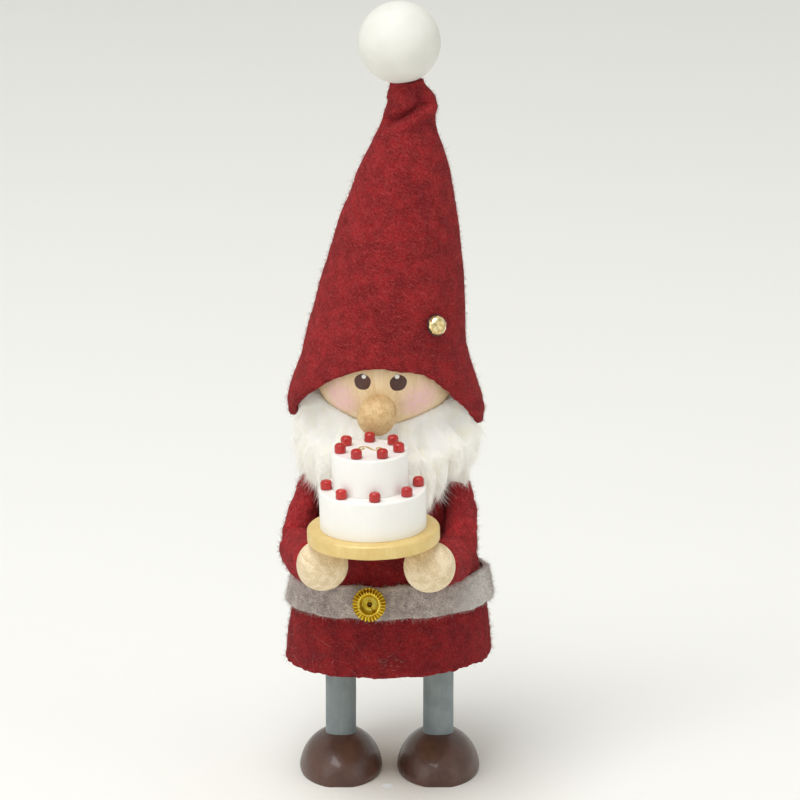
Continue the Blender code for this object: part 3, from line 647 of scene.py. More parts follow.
# %% The woods and paints
HEAD_WOOD = bare_wood("head wood", srgb(244, 222, 184), srgb(228, 198, 152), srgb(190, 150, 104),
                      blush=srgb(246, 196, 208), pore_share=0.35)
NOSE_WOOD = bare_wood("nose wood", srgb(228, 198, 150), srgb(190, 152, 100), srgb(138, 98, 58), 0.00016,
                      turn=(90, 0, 0))
HAND_WOOD = bare_wood("hand wood", srgb(248, 232, 202), srgb(208, 182, 138), srgb(160, 126, 86), 0.00018,
                      turn=(70, 20, 0), pore_share=0.5)
CORE_WOOD = bare_wood("core wood", srgb(214, 178, 132), srgb(184, 142, 96), srgb(130, 92, 58))
WHITE_PAINT = paint("satin white paint", srgb(246, 245, 241), srgb(243, 242, 237), 0.42, coat=0.1,
                    band=srgb(238, 237, 232), lumps=0.000008)
# painted shade: the ball's white is a darker copy of the cake's white paint
BALL_PAINT_SHADED = paint("white ball paint darkened as painted shade", srgb(229, 228, 221), srgb(224, 223, 215), 0.5, lumps=0.000008)
# the bright specks are metal flakes in the paint with their glint painted in: painted highlight
GOLD_PAINT = paint("gold paint", srgb(232, 206, 140), srgb(222, 192, 122), 0.42, metallic=0.2,
                   speck=srgb(255, 246, 210), band=srgb(216, 184, 112), lumps=0.000015)
CHERRY_PAINT = paint("cherry paint", srgb(190, 22, 16), srgb(166, 12, 12), 0.3, coat=0.4)
SCROLL_PAINT = paint("scroll gold", srgb(206, 172, 60), srgb(180, 144, 40), 0.35, metallic=0.3)
LEG_PAINT = paint("blue grey paint", srgb(142, 152, 154), srgb(124, 135, 138), 0.55,
                  band=srgb(112, 124, 128), lumps=0.00004)
SHOE_PAINT = paint("brown paint", srgb(96, 64, 52), srgb(78, 50, 40), 0.42, coat=0.3,
                   band=srgb(60, 36, 28), lumps=0.00003)
EYE_PAINT = paint("dark brown paint", srgb(92, 56, 44), srgb(72, 42, 34), 0.4, speck=srgb(140, 104, 88))
GLINT_PAINT = paint("white dot paint", srgb(250, 250, 248), srgb(240, 240, 238), 0.4)
print("finishes so far", len(bpy.data.materials))

# %% [markdown]
# ## Loose fibres
#
# What makes felt look like felt is the thin halo of fibres that have worked loose. Each one is a
# three-sided tube, thinner than a hair, that bends as it leaves the cloth and ends in a point.
# Thousands of them are one mesh: the tubes are worked out together as one array.


# %% Fibre helper
def fibre_mesh(name, roots, leave, bend, length, thick, tone, material, steps):
    """Tubes along root + length * (t * leave + t^2 * bend) for t from 0 to 1, three sides each, which
    taper to a point. roots, leave and bend are rows of three; length, thick and tone may vary."""
    t = np.linspace(0, 1, steps + 1)[None, :, None]
    length = np.broadcast_to(length, len(roots))[:, None, None]
    path = roots[:, None] + length * (leave[:, None] * t + bend[:, None] * t**2)
    side = unit(np.cross(leave, bend + np.array([0.011, 0.017, 0.013])))
    other = unit(np.cross(leave, side))
    radius = np.broadcast_to(thick, len(roots))[:, None, None] * (1 - 0.55 * t[:, :-1])
    angle = circle(3)
    rings = (
        path[:, :-1, None]
        + (radius * np.cos(angle))[..., None] * side[:, None, None]
        + (radius * np.sin(angle))[..., None] * other[:, None, None]
    )
    points = np.concatenate([rings.reshape(len(roots), -1, 3), path[:, -1:]], axis=1)
    per = points.shape[1]
    row = np.arange(steps * 3).reshape(steps, 3)
    beside = np.roll(row, -1, axis=1)
    quads = np.stack([row[:-1], beside[:-1], beside[1:], row[1:]], axis=-1).reshape(-1, 4)
    tip = np.stack([row[-1], beside[-1], np.full(3, per - 1)], axis=-1)
    triangles = np.vstack([tip, [[2, 1, 0]]])
    shift = (np.arange(len(roots)) * per)[:, None, None]
    quads = (quads[None] + shift).reshape(-1, 4)
    triangles = (triangles[None] + shift).reshape(-1, 3)
    return add_mesh(name, to_row(points.reshape(-1, 3)), quads, triangles, material,
                    tone=np.repeat(tone, per), corner=None)


# %% Loose fibres on a piece
def fuzz(name, rings, count, length, lift, material, seed, thick=0.022, within=None, curl=0.45,
         steps=2):
    """Loose fibres on a grid: random roots on it, leaving in random directions along the surface
    and lifting off by the share given. within keeps only the roots that a test on points allows."""
    rng = np.random.default_rng(seed)
    normals = grid_normals(rings)
    rows, columns = rings.shape[:2]
    area = np.linalg.norm(np.cross(np.gradient(rings, axis=0), np.gradient(rings, axis=1)), axis=-1)
    picked = rng.choice(rows * columns, count, p=(area / area.sum()).ravel())
    roots, normal = rings.reshape(-1, 3)[picked], normals.reshape(-1, 3)[picked]
    roots = roots + rng.normal(size=roots.shape) * 0.12
    if within is not None:
        keep = within(roots)
        roots, normal = roots[keep], normal[keep]
    number = len(roots)
    loose = rng.normal(size=(number, 3))
    along = unit(loose - normal * (loose * normal).sum(axis=-1, keepdims=True))
    rise = lift * rng.random((number, 1)) ** 1.5
    leave = unit(along + normal * rise * 2)
    bend = unit(rng.normal(size=(number, 3)) + normal * (0.3 * lift)) * curl
    size = length * (0.45 + rng.random(number) ** 2 * 1.2)
    return fibre_mesh(name, roots - normal * 0.03, leave, bend, size, thick, rng.random(number),
                      material, steps)


print("each tube of 2 steps has", 2 * 3 + 1, "points")

# %% [markdown]
# ## The coat
#
# The coat is one strip of felt rolled round the turned core, with its ends meeting in a seam at
# the back. Its outline is steep at the hem and rounds in to the neck. It is drawn as a shell: up
# the inside, round a soft cut edge, and back down the outside, with lumps that push it outwards.

# %% Coat shape
COAT_LOW, COAT_HIGH = box_mm("coat")
COAT_TOP = COAT_HIGH[2]
FELT = 1.5
HEM_R, NECK_R = 20.0, 8.6
BEARD_REACH = 66  # above this height the beard covers the coat
HEM_RISE_FRONT, HEM_RISE_RIGHT = 2.4, 0.9
HEM_Z = COAT_LOW[2] + math.hypot(HEM_RISE_FRONT, HEM_RISE_RIGHT)
COAT_BULGE = 1.65


def coat_radius(z):
    """Outside of the coat at a height: its radius falls from the hem's to the neck's with the share
    of the way up, raised to the power COAT_BULGE."""
    t = (z - HEM_Z) / (COAT_TOP - HEM_Z)
    return NECK_R + (HEM_R - NECK_R) * (1 - np.sign(t) * np.abs(t) ** COAT_BULGE)


def hem_height(angle):
    """The hem rises in front and a little on the right."""
    return HEM_Z + HEM_RISE_FRONT * np.cos(angle) + HEM_RISE_RIGHT * np.sin(angle)


print("coat from", COAT_LOW.round(1), "to", COAT_HIGH.round(1), "hem at", round(HEM_Z, 1))


# %% A wall of felt
def on_axis(z):
    """The sideways place of a wall that stands straight on the body's axis."""
    return 0.0


def shell(angle, low, high, radius, thick, rows, inner_rows, lump, seed, middle_of=on_axis, edge=5):
    """A felt wall: rings down the inside, over a rounded rim at low, and up the outside. low and high
    are heights per angle, radius a function of height and angle, middle_of of height. The outside is
    pushed out by noise, lump millimetres high."""
    low = low + 0.45 * thick
    up = np.linspace(1, 0, inner_rows)[:, None]
    inside_z = low * (1 - up) + high * up
    inside = round_front(angle, radius(inside_z, angle) - thick, inside_z, middle_of(inside_z))
    turn = np.linspace(math.pi, 0, edge + 2)[1:-1, None]
    rim_z = low - 0.45 * thick * np.sin(turn)
    rim_r = radius(low + 0 * turn, angle) - thick / 2 + thick / 2 * np.cos(turn)
    rim = round_front(angle, rim_r, rim_z, middle_of(low + 0 * turn))
    up = np.linspace(0, 1, rows)[:, None]
    outside_z = low * (1 - up) + high * up
    outside = round_front(angle, radius(outside_z, angle), outside_z, middle_of(outside_z))
    out = np.stack([np.sin(angle), -np.cos(angle), 0 * angle], axis=-1)
    push = lump * (0.5 * layered(outside, 4.5, seed) + 0.3 * noise(outside, 0.7, seed + 7) + 0.35)
    outside = outside + push[..., None] * out
    rim = rim + (lump * 1.4 * noise(rim, 0.8, seed + 9))[..., None] * out
    return inside, rim, outside


def turn_from(angle, degrees):
    """How far each angle is from a place in degrees, the short way round, in degrees."""
    return np.degrees(np.angle(np.exp(1j * (angle - math.radians(degrees)))))


def seam(angle, width):
    """A narrow groove down the back, where two cut edges of felt meet; width in degrees."""
    return bell(turn_from(angle, 180) / width)


print("seam's groove at the back and 3 degrees beside it", seam(np.radians([180, 177]), 2.0).round(2))

# %% The coat itself
COLUMNS = 330
ring_angle = circle(COLUMNS)
hem = hem_height(ring_angle)
hem_point = round_front(ring_angle, HEM_R, hem)
hem = hem + 0.22 * layered(hem_point, 3.0, 5) + 0.12 * noise(hem_point, 0.8, 6)


def coat_wall(z, angle):
    """The coat's radius with long soft waves near the hem and the seam's groove at the back."""
    wave = 0.3 * np.sin(3 * angle + 0.8) * (1 - smoothstep((z - HEM_Z) / 14))
    return coat_radius(z) + wave - 0.3 * seam(angle, 1.7)


coat_top = np.full(COLUMNS, COAT_TOP)
coat_parts = shell(ring_angle, hem, coat_top, coat_wall, FELT, rows=170, inner_rows=12, lump=0.32, seed=11)
coat = add_grid("coat_felt", np.vstack(coat_parts), COAT_RED_SHADED, ["coat"], wrap=True)
outer_coat = coat_parts[2]


# %% How much felt the coat takes
def cut_area(radius, low, high):
    """Felt cut for a plain wall, in square metres: rings of length 2 pi r times the slope between."""
    z = np.linspace(low, high, 200)
    slope = np.hypot(np.diff(radius(z)), np.diff(z))
    return float((2 * math.pi * radius((z[1:] + z[:-1]) / 2) * slope).sum()) * MM**2


coat_cut = cut_area(lambda z: coat_radius(z) - FELT / 2, HEM_Z, COAT_TOP)
print("coat: felt cut in square mm", round(coat_cut / MM**2), "hem round", round(2 * math.pi * HEM_R, 1))

# %% [markdown]
# ## The belt
#
# A strip of grey felt about six millimetres wide is wrapped round the coat and glued. A sheet laid
# on the coat would be a plane that has to be bent; a small section with soft corners, carried once
# round, gives both faces and both edges at once. The edges were cut by hand, so they wander, and on
# the right the strip stands off the coat a little.

# %% Belt shape
BELT_LOW, BELT_HIGH = box_mm("belt")
BELT_WIDTH = 5.7
BELT_FELT = 1.0
GAP = 0.3  # a glue line between two pieces
BELT_RISE_FRONT, BELT_RISE_RIGHT = 2.2, 0.7
BELT_Z = (BELT_LOW[2] + BELT_HIGH[2]) / 2 + 0.6
STANDS_OFF = 103  # degrees from the front to the place where it stands off the coat


def belt_height(angle):
    """The height of the belt's middle round the coat."""
    return BELT_Z + BELT_RISE_FRONT * np.cos(angle) + BELT_RISE_RIGHT * np.sin(angle)


print("belt's middle in front and behind at", belt_height(np.array([0.0, math.pi])).round(1))


# %% The belt's section carried round
def belt_rings():
    """A rounded-rectangle section carried round the coat: the section's points against the angle."""
    steps = 30
    face = np.linspace(-0.5, 0.5, steps)
    bend = 0.5 * BELT_FELT
    turn = np.linspace(-90, 90, 7)[1:-1]
    low_edge = [(-0.5 * BELT_WIDTH - 0.25 * math.cos(a), bend + bend * math.sin(a)) for a in np.radians(turn)]
    high_edge = [(-w, d) for w, d in reversed(low_edge)]
    outside = [(f * BELT_WIDTH, BELT_FELT) for f in face]
    inside = [(f * BELT_WIDTH, 0.0) for f in reversed(face[::3])]
    section = np.array([*low_edge, *outside, *high_edge, *inside])
    angle = circle(420)[:, None]
    wander = 0.25 * noise(round_front(angle, HEM_R, 0 * angle), 5.0, 31)
    z = belt_height(angle) + section[:, 0] * (1 + 0.02 * wander) + wander
    z = z + 0.10 * noise(round_front(angle, HEM_R, z), 0.7, 33)
    stand = 0.5 * bell((angle - math.radians(STANDS_OFF)) / 0.24)
    radius = coat_radius(z) + GAP + stand + section[:, 1]
    points = round_front(angle, radius, z)
    lump = 0.16 * layered(points, 2.5, 35) + 0.08 * noise(points, 0.5, 38) + 0.08
    proud = smoothstep(section[:, 1] / BELT_FELT)
    return points + (lump * proud)[..., None] * round_front(angle, 1.0, 0.0), len(low_edge), len(outside)


# %% The belt itself
belt_grid, belt_start, belt_count = belt_rings()
belt = add_grid("belt_felt", belt_grid, BELT_GREY, ["belt"], wrap=True)


# %% Loose fibres on the belt and the coat
def coat_shows(points):
    """Where the coat's loose fibres show: below the beard and outside the belt's band."""
    turn = np.arctan2(points[:, 0], -points[:, 1])
    beside_belt = np.abs(points[:, 2] - belt_height(turn)) > BELT_WIDTH / 2 + 0.2
    return beside_belt & (points[:, 2] < BEARD_REACH)


def near(turn, z, reach_x, reach_z):
    """A test that keeps the coat's points near a place, in degrees from the front and in height."""
    def test(points):
        away = np.degrees(np.arctan2(points[:, 0], -points[:, 1])) - turn
        return (away / reach_x) ** 2 + ((points[:, 2] - z) / reach_z) ** 2 < 1
    return test


belt_face = belt_grid[:, belt_start - 3:belt_start + belt_count + 3].transpose(1, 0, 2)
fuzz("belt_fuzz", belt_face, 12000, 0.9, 0.6, GREY_FIBRE, 41)
fuzz("coat_fuzz", outer_coat, 18000, 0.95, 0.5, RED_FIBRE, 42, within=coat_shows)
fuzz("stray_hairs_left", outer_coat, 520, 4.6, 0.35, PALE_HAIR, 43, thick=0.012,
     within=near(-40, 26, 44, 6), curl=1.1, steps=8)
fuzz("stray_hairs_front", outer_coat, 8000, 1.3, 0.5, GREY_FIBRE, 44, thick=0.012,
     within=near(5, 28, 8, 3))

# %% [markdown]
# ## The hat
#
# A tall cone of felt covers the head down to an arch over the face. It leans to the right, folds
# over just below the tip, and the rolled tip goes up into a hole in the white ball. The fold is a
# slanting crease with a soft lip below it, pressed into the cone along a tilted plane.

# %% Hat shape
HAT_FELT = 1.3
BALL = in_body("hat_ball")
BALL_R = 7.8
BALL[2] = box_mm("hat_ball")[1][2] - BALL_R
BAND_Z = HEAD[2] + 4.4
FOLD_Z = HEAD[2] + 50.5
BAND_R = HEAD_R + 0.1 + HAT_FELT
BRIM_FRONT, BRIM_BACK, BRIM_DROP_RIGHT = 2.6, -13.2, 0.9
# the brim's own ups and downs: degrees from the front, reach in degrees, height
BRIM_WAVES = [(46, 24, 2.1), (-98, 19, -1.7), (90, 18, -0.5)]
TIP_TAPER, FLARE, LEAN = 10.6, 1.6, 4.7
BALL_BORE = 2.6
BALL_FLOOR = BALL[2] - math.sqrt(BALL_R**2 - BALL_BORE**2)


def brim_height(angle):
    """The brim: an arch over the face, lifted over the right cheek, low at the ears and the back."""
    arch = ((1 + np.cos(angle)) / 2) ** 2.5
    waves = sum(tall * bell(turn_from(angle, place) / reach) for place, reach, tall in BRIM_WAVES)
    drop_right = BRIM_DROP_RIGHT * np.sin(angle) * (1 - arch)
    return HEAD[2] + BRIM_BACK + (BRIM_FRONT - BRIM_BACK) * arch - drop_right + waves


def hat_radius(z, angle):
    """Outside of the hat: a cone that curves in to the tip, spread sideways over the beard, and
    turned in a little at the lowest edge."""
    t = (z - BAND_Z) / (FOLD_Z - BAND_Z)
    cone = BAND_R - TIP_TAPER * (0.52 * t + 0.48 * np.sign(t) * t**2) - 0.75 * bell((t - 0.9) / 0.12)
    sideways = np.abs(np.sin(angle))
    tuck = 0.8 * sideways**2 * smoothstep((brim_height(angle) + 3.5 - z) / 3.5)
    return cone + FLARE * smoothstep((BAND_Z - z) / 12.0) * sideways - tuck


def hat_centre(z):
    """Sideways place of the hat's middle: over the head below, leaning right towards the tip."""
    t = np.clip((z - BAND_Z) / (FOLD_Z - BAND_Z), 0, None)
    return HEAD[0] - 0.25 + LEAN * t + 0.25 * smoothstep(t * 4)


print("hat: brim", round(float(brim_height(0.0)), 1), "fold", round(float(FOLD_Z), 1), "ball", BALL.round(1))


# %% The fold near the tip
def crease_height(angle):
    """The crease below the tip: a tilted plane through the cone, lower on the left."""
    return FOLD_Z - 0.2 + 2.6 * np.sin(angle) - 0.5 * np.cos(angle)


def hat_wall(z, angle):
    """The cone with its crease, the lip below the crease, soft dents and the seam at the back."""
    above = z - crease_height(angle)
    front = smoothstep(np.cos(angle) * 1.2 + 0.1)
    crease = -1.8 * bell(above / 0.95) * front + 0.5 * bell((above + 1.9) / 1.2) * front
    crease = crease + 0.7 * bell((z - FOLD_Z) / 1.8) * smoothstep(np.sin(angle))
    dent = -0.45 * bell((above + 5.5) / 2.2) * bell(np.sin(angle / 2 - 0.5) / 0.35)
    return hat_radius(z, angle) + crease + dent - 0.25 * seam(angle, 2.0)


def hat_tip(start, rows):
    """From the last ring of the cone the roll of felt narrows to a circle under the ball, follows the
    ball's underside in to its hole, and goes up into it."""
    t = np.linspace(0, 1, rows + 1)[1:, None]
    z = start[:, 2] + (BALL_FLOOR + 3.4 - start[:, 2]) * t
    neck = round_front(ring_angle, 3.2, z, BALL[0] + 1.4)
    share = smoothstep(t / 0.55)[..., None]
    points = start * (1 - share) + neck * share
    points[..., 2] = z
    points = points + (0.25 * noise(points, 2.2, 52) * (1 - share[..., 0]))[..., None] * round_front(
        ring_angle, 1.0, 0.0)
    in_bore = smoothstep((t - 0.56) / 0.05)[..., None]
    points = points * (1 - in_bore) + round_front(ring_angle, 2.3, z, BALL[0]) * in_bore
    from_axis = np.hypot(points[..., 0] - BALL[0], points[..., 1])
    under_ball = BALL[2] - np.sqrt(np.maximum(BALL_R**2 - from_axis**2, 0)) - 0.06
    outside = from_axis > BALL_BORE - 0.1
    points[..., 2] = np.where(outside, np.minimum(points[..., 2], under_ball), points[..., 2])
    return points


print("crease on the left and right at", crease_height(np.array([-0.5, 0.5]) * math.pi).round(1))

# %% The hat itself
brim = brim_height(ring_angle)
brim_point = round_front(ring_angle, BAND_R, brim)
brim = brim + 0.25 * layered(brim_point, 4.0, 21) + 0.10 * noise(brim_point, 0.9, 23)
cone_top = np.full(COLUMNS, FOLD_Z + 1.0)
hat_inside, hat_rim, hat_outside = shell(
    ring_angle, brim, cone_top, hat_wall, HAT_FELT, rows=195, inner_rows=10, lump=0.30, seed=22,
    middle_of=hat_centre, edge=7)
hat_inside = hat_inside[2:]  # the hollow ends below the fold
hat_tube = hat_tip(hat_outside[-1], 24)
hat_grid = np.vstack([hat_inside, hat_rim, hat_outside, hat_tube])
hat = add_grid("hat_felt", hat_grid, HAT_RED, ["hat"])
brim_middle = float(brim.mean())
hat_cut = cut_area(lambda z: hat_radius(z, 0.0) - HAT_FELT / 2, brim_middle, BALL_FLOOR)
print("hat: felt cut in square mm", round(hat_cut / MM**2), "band round", round(2 * math.pi * BAND_R, 1))
# flat: once round the spread brim, and the slope up to the ball
hat_surface = np.vstack([hat_rim[3:], hat_outside, hat_tube[:14]])
fuzz("hat_fuzz", hat_surface, 16000, 0.9, 0.5, RED_FIBRE, 61)

# %% [markdown]
# ## Head, nose and painted eyes
#
# The head is a plain turned ball with a socket for the neck, and the nose is a short peg with a
# round end. The eyes are thick drops of dark paint with a white dot, so each is a low dome that
# follows the ball's surface. A patch on a ball is drawn in rings of growing distance from its
# middle, each ring lifted by the dome's height there.

# %% The nose's measures
NOSE_LOW, NOSE_HIGH = box_mm("nose")
NOSE_R, NOSE_STEM_R = 3.65, 3.3
NOSE_Z = (NOSE_LOW[2] + NOSE_HIGH[2]) / 2
NOSE_TIP = -cad_points("nose")[:, 1].min()
STEM_START = -cad_points("nose")[:, 1].max()
BEARD_TOP_DROP = HEAD[2] - NOSE_Z + NOSE_R + GAP  # the beard hangs from just under the nose
print("nose at height", round(NOSE_Z, 2), "tip", round(NOSE_TIP, 2), "in front of the axis")

# %% Head and nose
NECK_BORE = 3.3
bore_angle = math.degrees(math.acos(NECK_BORE / HEAD_R))
head_profile = np.vstack([
    [(0.01, -7.2), (NECK_BORE - 0.1, -7.2)],
    line((NECK_BORE, -7.2), (NECK_BORE, -13.4), 6),
    arc(0, 0, HEAD_R, -bore_angle + 0.8, 89.6, 110),
])
add_grid("head_ball", turned(head_profile, HEAD, sides=180), HEAD_WOOD, ["head"])

shoulder = NOSE_TIP - NOSE_R
nose_profile = np.vstack([
    [(0.01, STEM_START), (NOSE_STEM_R - 0.3, STEM_START), (NOSE_STEM_R, STEM_START + 0.3)],
    line((NOSE_STEM_R, STEM_START + 0.5), (NOSE_STEM_R, shoulder - 3.2), 10),
    np.stack([NOSE_STEM_R + (NOSE_R - NOSE_STEM_R) * smoothstep(np.linspace(0, 1, 14)),
              shoulder - 3.2 + 3.2 * np.linspace(0, 1, 14)], axis=-1),
    arc(0, shoulder, NOSE_R, 0, 89, 40)[1:],
])
nose_rings = turned(nose_profile, (HEAD[0], 0, NOSE_Z), axis=(0, -1, 0), sides=110)
nose_rings = nose_rings + 0.05 * noise(nose_rings, 2.4, 71)[..., None]
add_grid("nose_peg", nose_rings, NOSE_WOOD, ["nose"])


# %% Painted eyes
PATCH_WOBBLE = 0.03  # how far the outline of a painted patch wanders, as a share of its reach


def patch_on_ball(name, centre, ball_r, direction, reach, height, material):
    """A low dome of paint on a ball: a ring that lies share of reach from the middle is lifted by
    height * (1 - share^2)^(1/2), and the underside lies just inside the ball."""
    first, second, axis = frame_round(direction)
    angle = circle(64)
    share = np.sin(np.linspace(0.02, math.pi / 2, 16))[:, None]
    edge = 1 + PATCH_WOBBLE * (np.sin(2 * angle + 0.7) + 0.6 * np.sin(5 * angle))
    tilt = share * reach * edge / ball_r
    lift = ball_r + 0.02 + height * np.sqrt(1 - share**2) + 0 * tilt
    under = np.full_like(tilt, ball_r - 0.08)
    tilt = np.vstack([tilt, tilt[::-1]])
    lift = np.vstack([lift, under])
    spoke = np.cos(angle)[:, None] * first + np.sin(angle)[:, None] * second
    rings = np.asarray(centre) + lift[..., None] * (
        np.cos(tilt)[..., None] * axis + np.sin(tilt)[..., None] * spoke
    )
    return add_grid(name, rings, material)


# degrees to the right of the front and above level
EYES = {"left": (-12.7, -1.1), "right": (15.6, -1.3)}
GLINTS = {"left": (-11.4, 3.5), "right": (14.6, 4.0)}
EYE_REACH, GLINT_REACH, PAINT_TALL, GLINT_LIFT = 1.62, 0.44, 0.12, 0.10
for side in EYES:
    towards_eye = on_head(*EYES[side]) - HEAD
    patch_on_ball(f"eye_{side}", HEAD, HEAD_R, towards_eye, EYE_REACH, PAINT_TALL, EYE_PAINT)
    towards_glint = on_head(*GLINTS[side]) - HEAD
    patch_on_ball(f"eye_glint_{side}", HEAD, HEAD_R + GLINT_LIFT, towards_glint, GLINT_REACH, PAINT_TALL,
                  GLINT_PAINT)

# %% [markdown]
# ## The fleece beard
#
# A curtain of curly lamb's fleece is glued round the lower face. It starts as a closed lumpy body
# whose lower edge hangs down in locks. Over it lie fine hairs, tubes like the felt's loose fibres
# but longer: they lie down along the surface, neighbours turn the same way, and low down they
# gather to the middle of their lock. Shorter hairs edge the top and stand up between. A little
# emission stands in for the light that fleece passes on from hair to hair.

# %% Fleece
FLEECE, fleece_tree, fleece_shader, fleece_vector = start("fleece", 0.9)
fleece_shader.inputs["Subsurface Weight"].default_value = 0.7
fleece_shader.inputs["Subsurface Radius"].default_value = (1.0, 0.95, 0.85)
fleece_shader.inputs["Subsurface Scale"].default_value = 0.002
fleece_shader.inputs["Specular IOR Level"].default_value = 0.2
fleece_wool = use_group(fleece_tree, WOOL, fleece_vector, 0.00014)
fleece_colour = mixed(fleece_tree, fleece_wool["Patches"], srgb(254, 253, 248), srgb(246, 243, 230))
fleece_gaps = maths(fleece_tree, "MULTIPLY", fleece_wool["Gaps"], 0.3)
fleece_colour = mixed(fleece_tree, fleece_gaps, fleece_colour, srgb(226, 220, 202))
fleece_tree.links.new(fleece_colour, fleece_shader.inputs["Base Color"])
fleece_height = maths(fleece_tree, "SUBTRACT", fleece_wool["Strands"], fleece_wool["Gaps"])
bump(fleece_tree, fleece_shader, fleece_height, 0.0001, 0.8)
FLEECE_HAIR = fibre_wool("fleece hair", srgb(247, 244, 233), srgb(255, 255, 252), sheen=0.0)
hair_shader = FLEECE_HAIR.node_tree.nodes["Principled BSDF"]
# painted light: the fleece and its hairs glow a little, in place of the light passed on from hair to hair
for shader, glow in ((fleece_shader, 0.07), (hair_shader, 0.16)):
    shader.inputs["Emission Color"].default_value = (1.0, 0.98, 0.93, 1.0)
    shader.inputs["Emission Strength"].default_value = glow
print("fleece glows", fleece_shader.inputs["Emission Strength"].default_value)

# %% The beard's outline
BEARD_HALF_ANGLE = math.radians(108)
BEARD_LENGTH = 12.5
BEARD_THICK, THICK_SIDES, THICK_RIGHT = 3.4, 2.9, 0.3
BEARD_HANGING_R = 12.2
# degrees from the front, and there the height of the upper edge over the head's middle
BEARD_TOP = [(-108, -2.6), (-80, -4.6), (-64, -6.4), (-50, -7.1), (-41, -7.5), (-24, -8.9), (0, -9.9),
             (17, -9.4), (30, -8.6), (50, -7.2), (64, -6.6), (80, -4.8), (108, -2.8)]
# degrees from the front, and there the share of the full length
BEARD_SHARE = [(-108, 0.42), (-85, 0.62), (-68, 0.8), (-56, 0.95), (-44, 1.05), (-28, 0.95), (0, 0.8),
               (24, 0.95), (39, 1.15), (50, 0.9), (58, 0.74), (68, 1.0), (80, 0.68), (108, 0.45)]
LOCK_WIDE = math.radians(11)


def beard_lock(angle):
    """Place across a lock, from -0.5 to 0.5: the locks are about as wide as LOCK_WIDE, but wander."""
    wander = 0.55 * noise(np.stack([angle, 0 * angle, 0 * angle], axis=-1), 0.5, 80)
    place = angle / LOCK_WIDE + wander
    return place - np.round(place)


def beard_edges(angle):
    """Heights of the upper and lower edge round the face; each lock hangs down to a point."""
    turn = np.degrees(angle)
    high = HEAD[2] + np.interp(turn, *zip(*BEARD_TOP))
    low = HEAD[2] - BEARD_TOP_DROP - BEARD_LENGTH * np.interp(turn, *zip(*BEARD_SHARE))
    return high, low + 1.6 - 2.2 * (1 - 2 * np.abs(beard_lock(angle)))


print("beard in front, from and to", [round(float(h), 1) for h in beard_edges(np.array(0.0))])


# %% The beard's body
def beard_walls(angle, z, high, low):
    """Inner and outer radius: thin at the face, swelling down the cheeks, and tucked under the hat."""
    down = (high - z) / (high - low)
    depth = BEARD_THICK + THICK_SIDES * np.abs(np.sin(angle)) + THICK_RIGHT * np.sin(angle)
    head = np.sqrt(np.clip(HEAD_R**2 - (z - HEAD[2]) ** 2, 0, None))
    coat_side = coat_radius(np.minimum(z, COAT_TOP)) + abs(HEAD[0])
    inner = np.maximum(np.maximum(head + 0.05, coat_side + GAP), 9.0)
    hanging = np.maximum(coat_side + GAP, BEARD_HANGING_R) + depth
    under_hat = hat_radius(z, angle) - HAT_FELT - 0.2
    start = head + 0.3 + (under_hat - head - 0.3) * smoothstep((np.degrees(np.abs(angle)) - 68) / 12)
    outer = start + (hanging - start) * np.clip(down / 0.5, 0, 1) ** 0.65
    tucked = smoothstep((z - brim_height(angle) + 1.4) / 1.0)
    outer = outer + (np.minimum(outer, under_hat) - outer) * tucked
    return inner, np.maximum(outer, inner + 0.15)


def beard_body():
    """Sections round the face, each a loop: down the outside, round the lower edge, up the inside.
    Soft lumps push the outside out, and it thins at the ends and at the tips of the locks, except
    under the hat's brim, which it fills. The second result is the outside alone."""
    angle = np.linspace(-BEARD_HALF_ANGLE, BEARD_HALF_ANGLE, 420)[:, None]
    high, low = beard_edges(angle)
    drop = np.linspace(0, 1, 90)[None, :]
    z_out = high + (low - high) * drop
    inner, outer = beard_walls(angle, z_out, high, low)
    close = np.sqrt(np.clip(1 - (np.abs(angle) / BEARD_HALF_ANGLE) ** 8, 0.02, 1))
    round_low = np.sqrt(np.clip(1 - np.clip((drop - 0.7) / 0.32, 0, 1) ** 2, 0, 1)) * 0.8 + 0.2
    locks = (1 - 2 * np.abs(beard_lock(angle))) * smoothstep((drop - 0.35) / 0.4)
    full = close * round_low * (0.86 + 0.14 * locks)
    filled = smoothstep((z_out - brim_height(angle) + 1.6) / 1.0)
    filled = filled * smoothstep((np.degrees(np.abs(angle)) - 50) / 15)
    outer = inner + (outer - inner) * (full + (1 - full) * filled)
    out_points = round_front(angle, outer, z_out, HEAD[0])
    stretched = out_points * np.array([1, 1, 0.4])
    lumps = 1.15 * noise(stretched, 3.6, 81) + 0.4 * noise(stretched, 1.5, 82)
    lumps = lumps + 0.15 * noise(out_points, 0.5, 83)
    out = np.stack([np.sin(angle) + 0 * z_out, -np.cos(angle) + 0 * z_out, 0 * z_out], axis=-1)
    shown = 1 - smoothstep((z_out - brim_height(angle) + 2.0) / 1.3)
    swell = smoothstep(drop / 0.25) * close * round_low * shown
    out_points = out_points + (lumps * swell)[..., None] * out
    z_in = z_out[:, ::-7]
    inner_wall, _ = beard_walls(angle, z_in, high, low)
    in_points = round_front(angle, inner_wall, z_in, HEAD[0])
    return np.concatenate([out_points, in_points], axis=1), out_points


beard_rings, beard_outside = beard_body()
add_grid("beard_fleece", beard_rings, FLEECE, ["beard"])


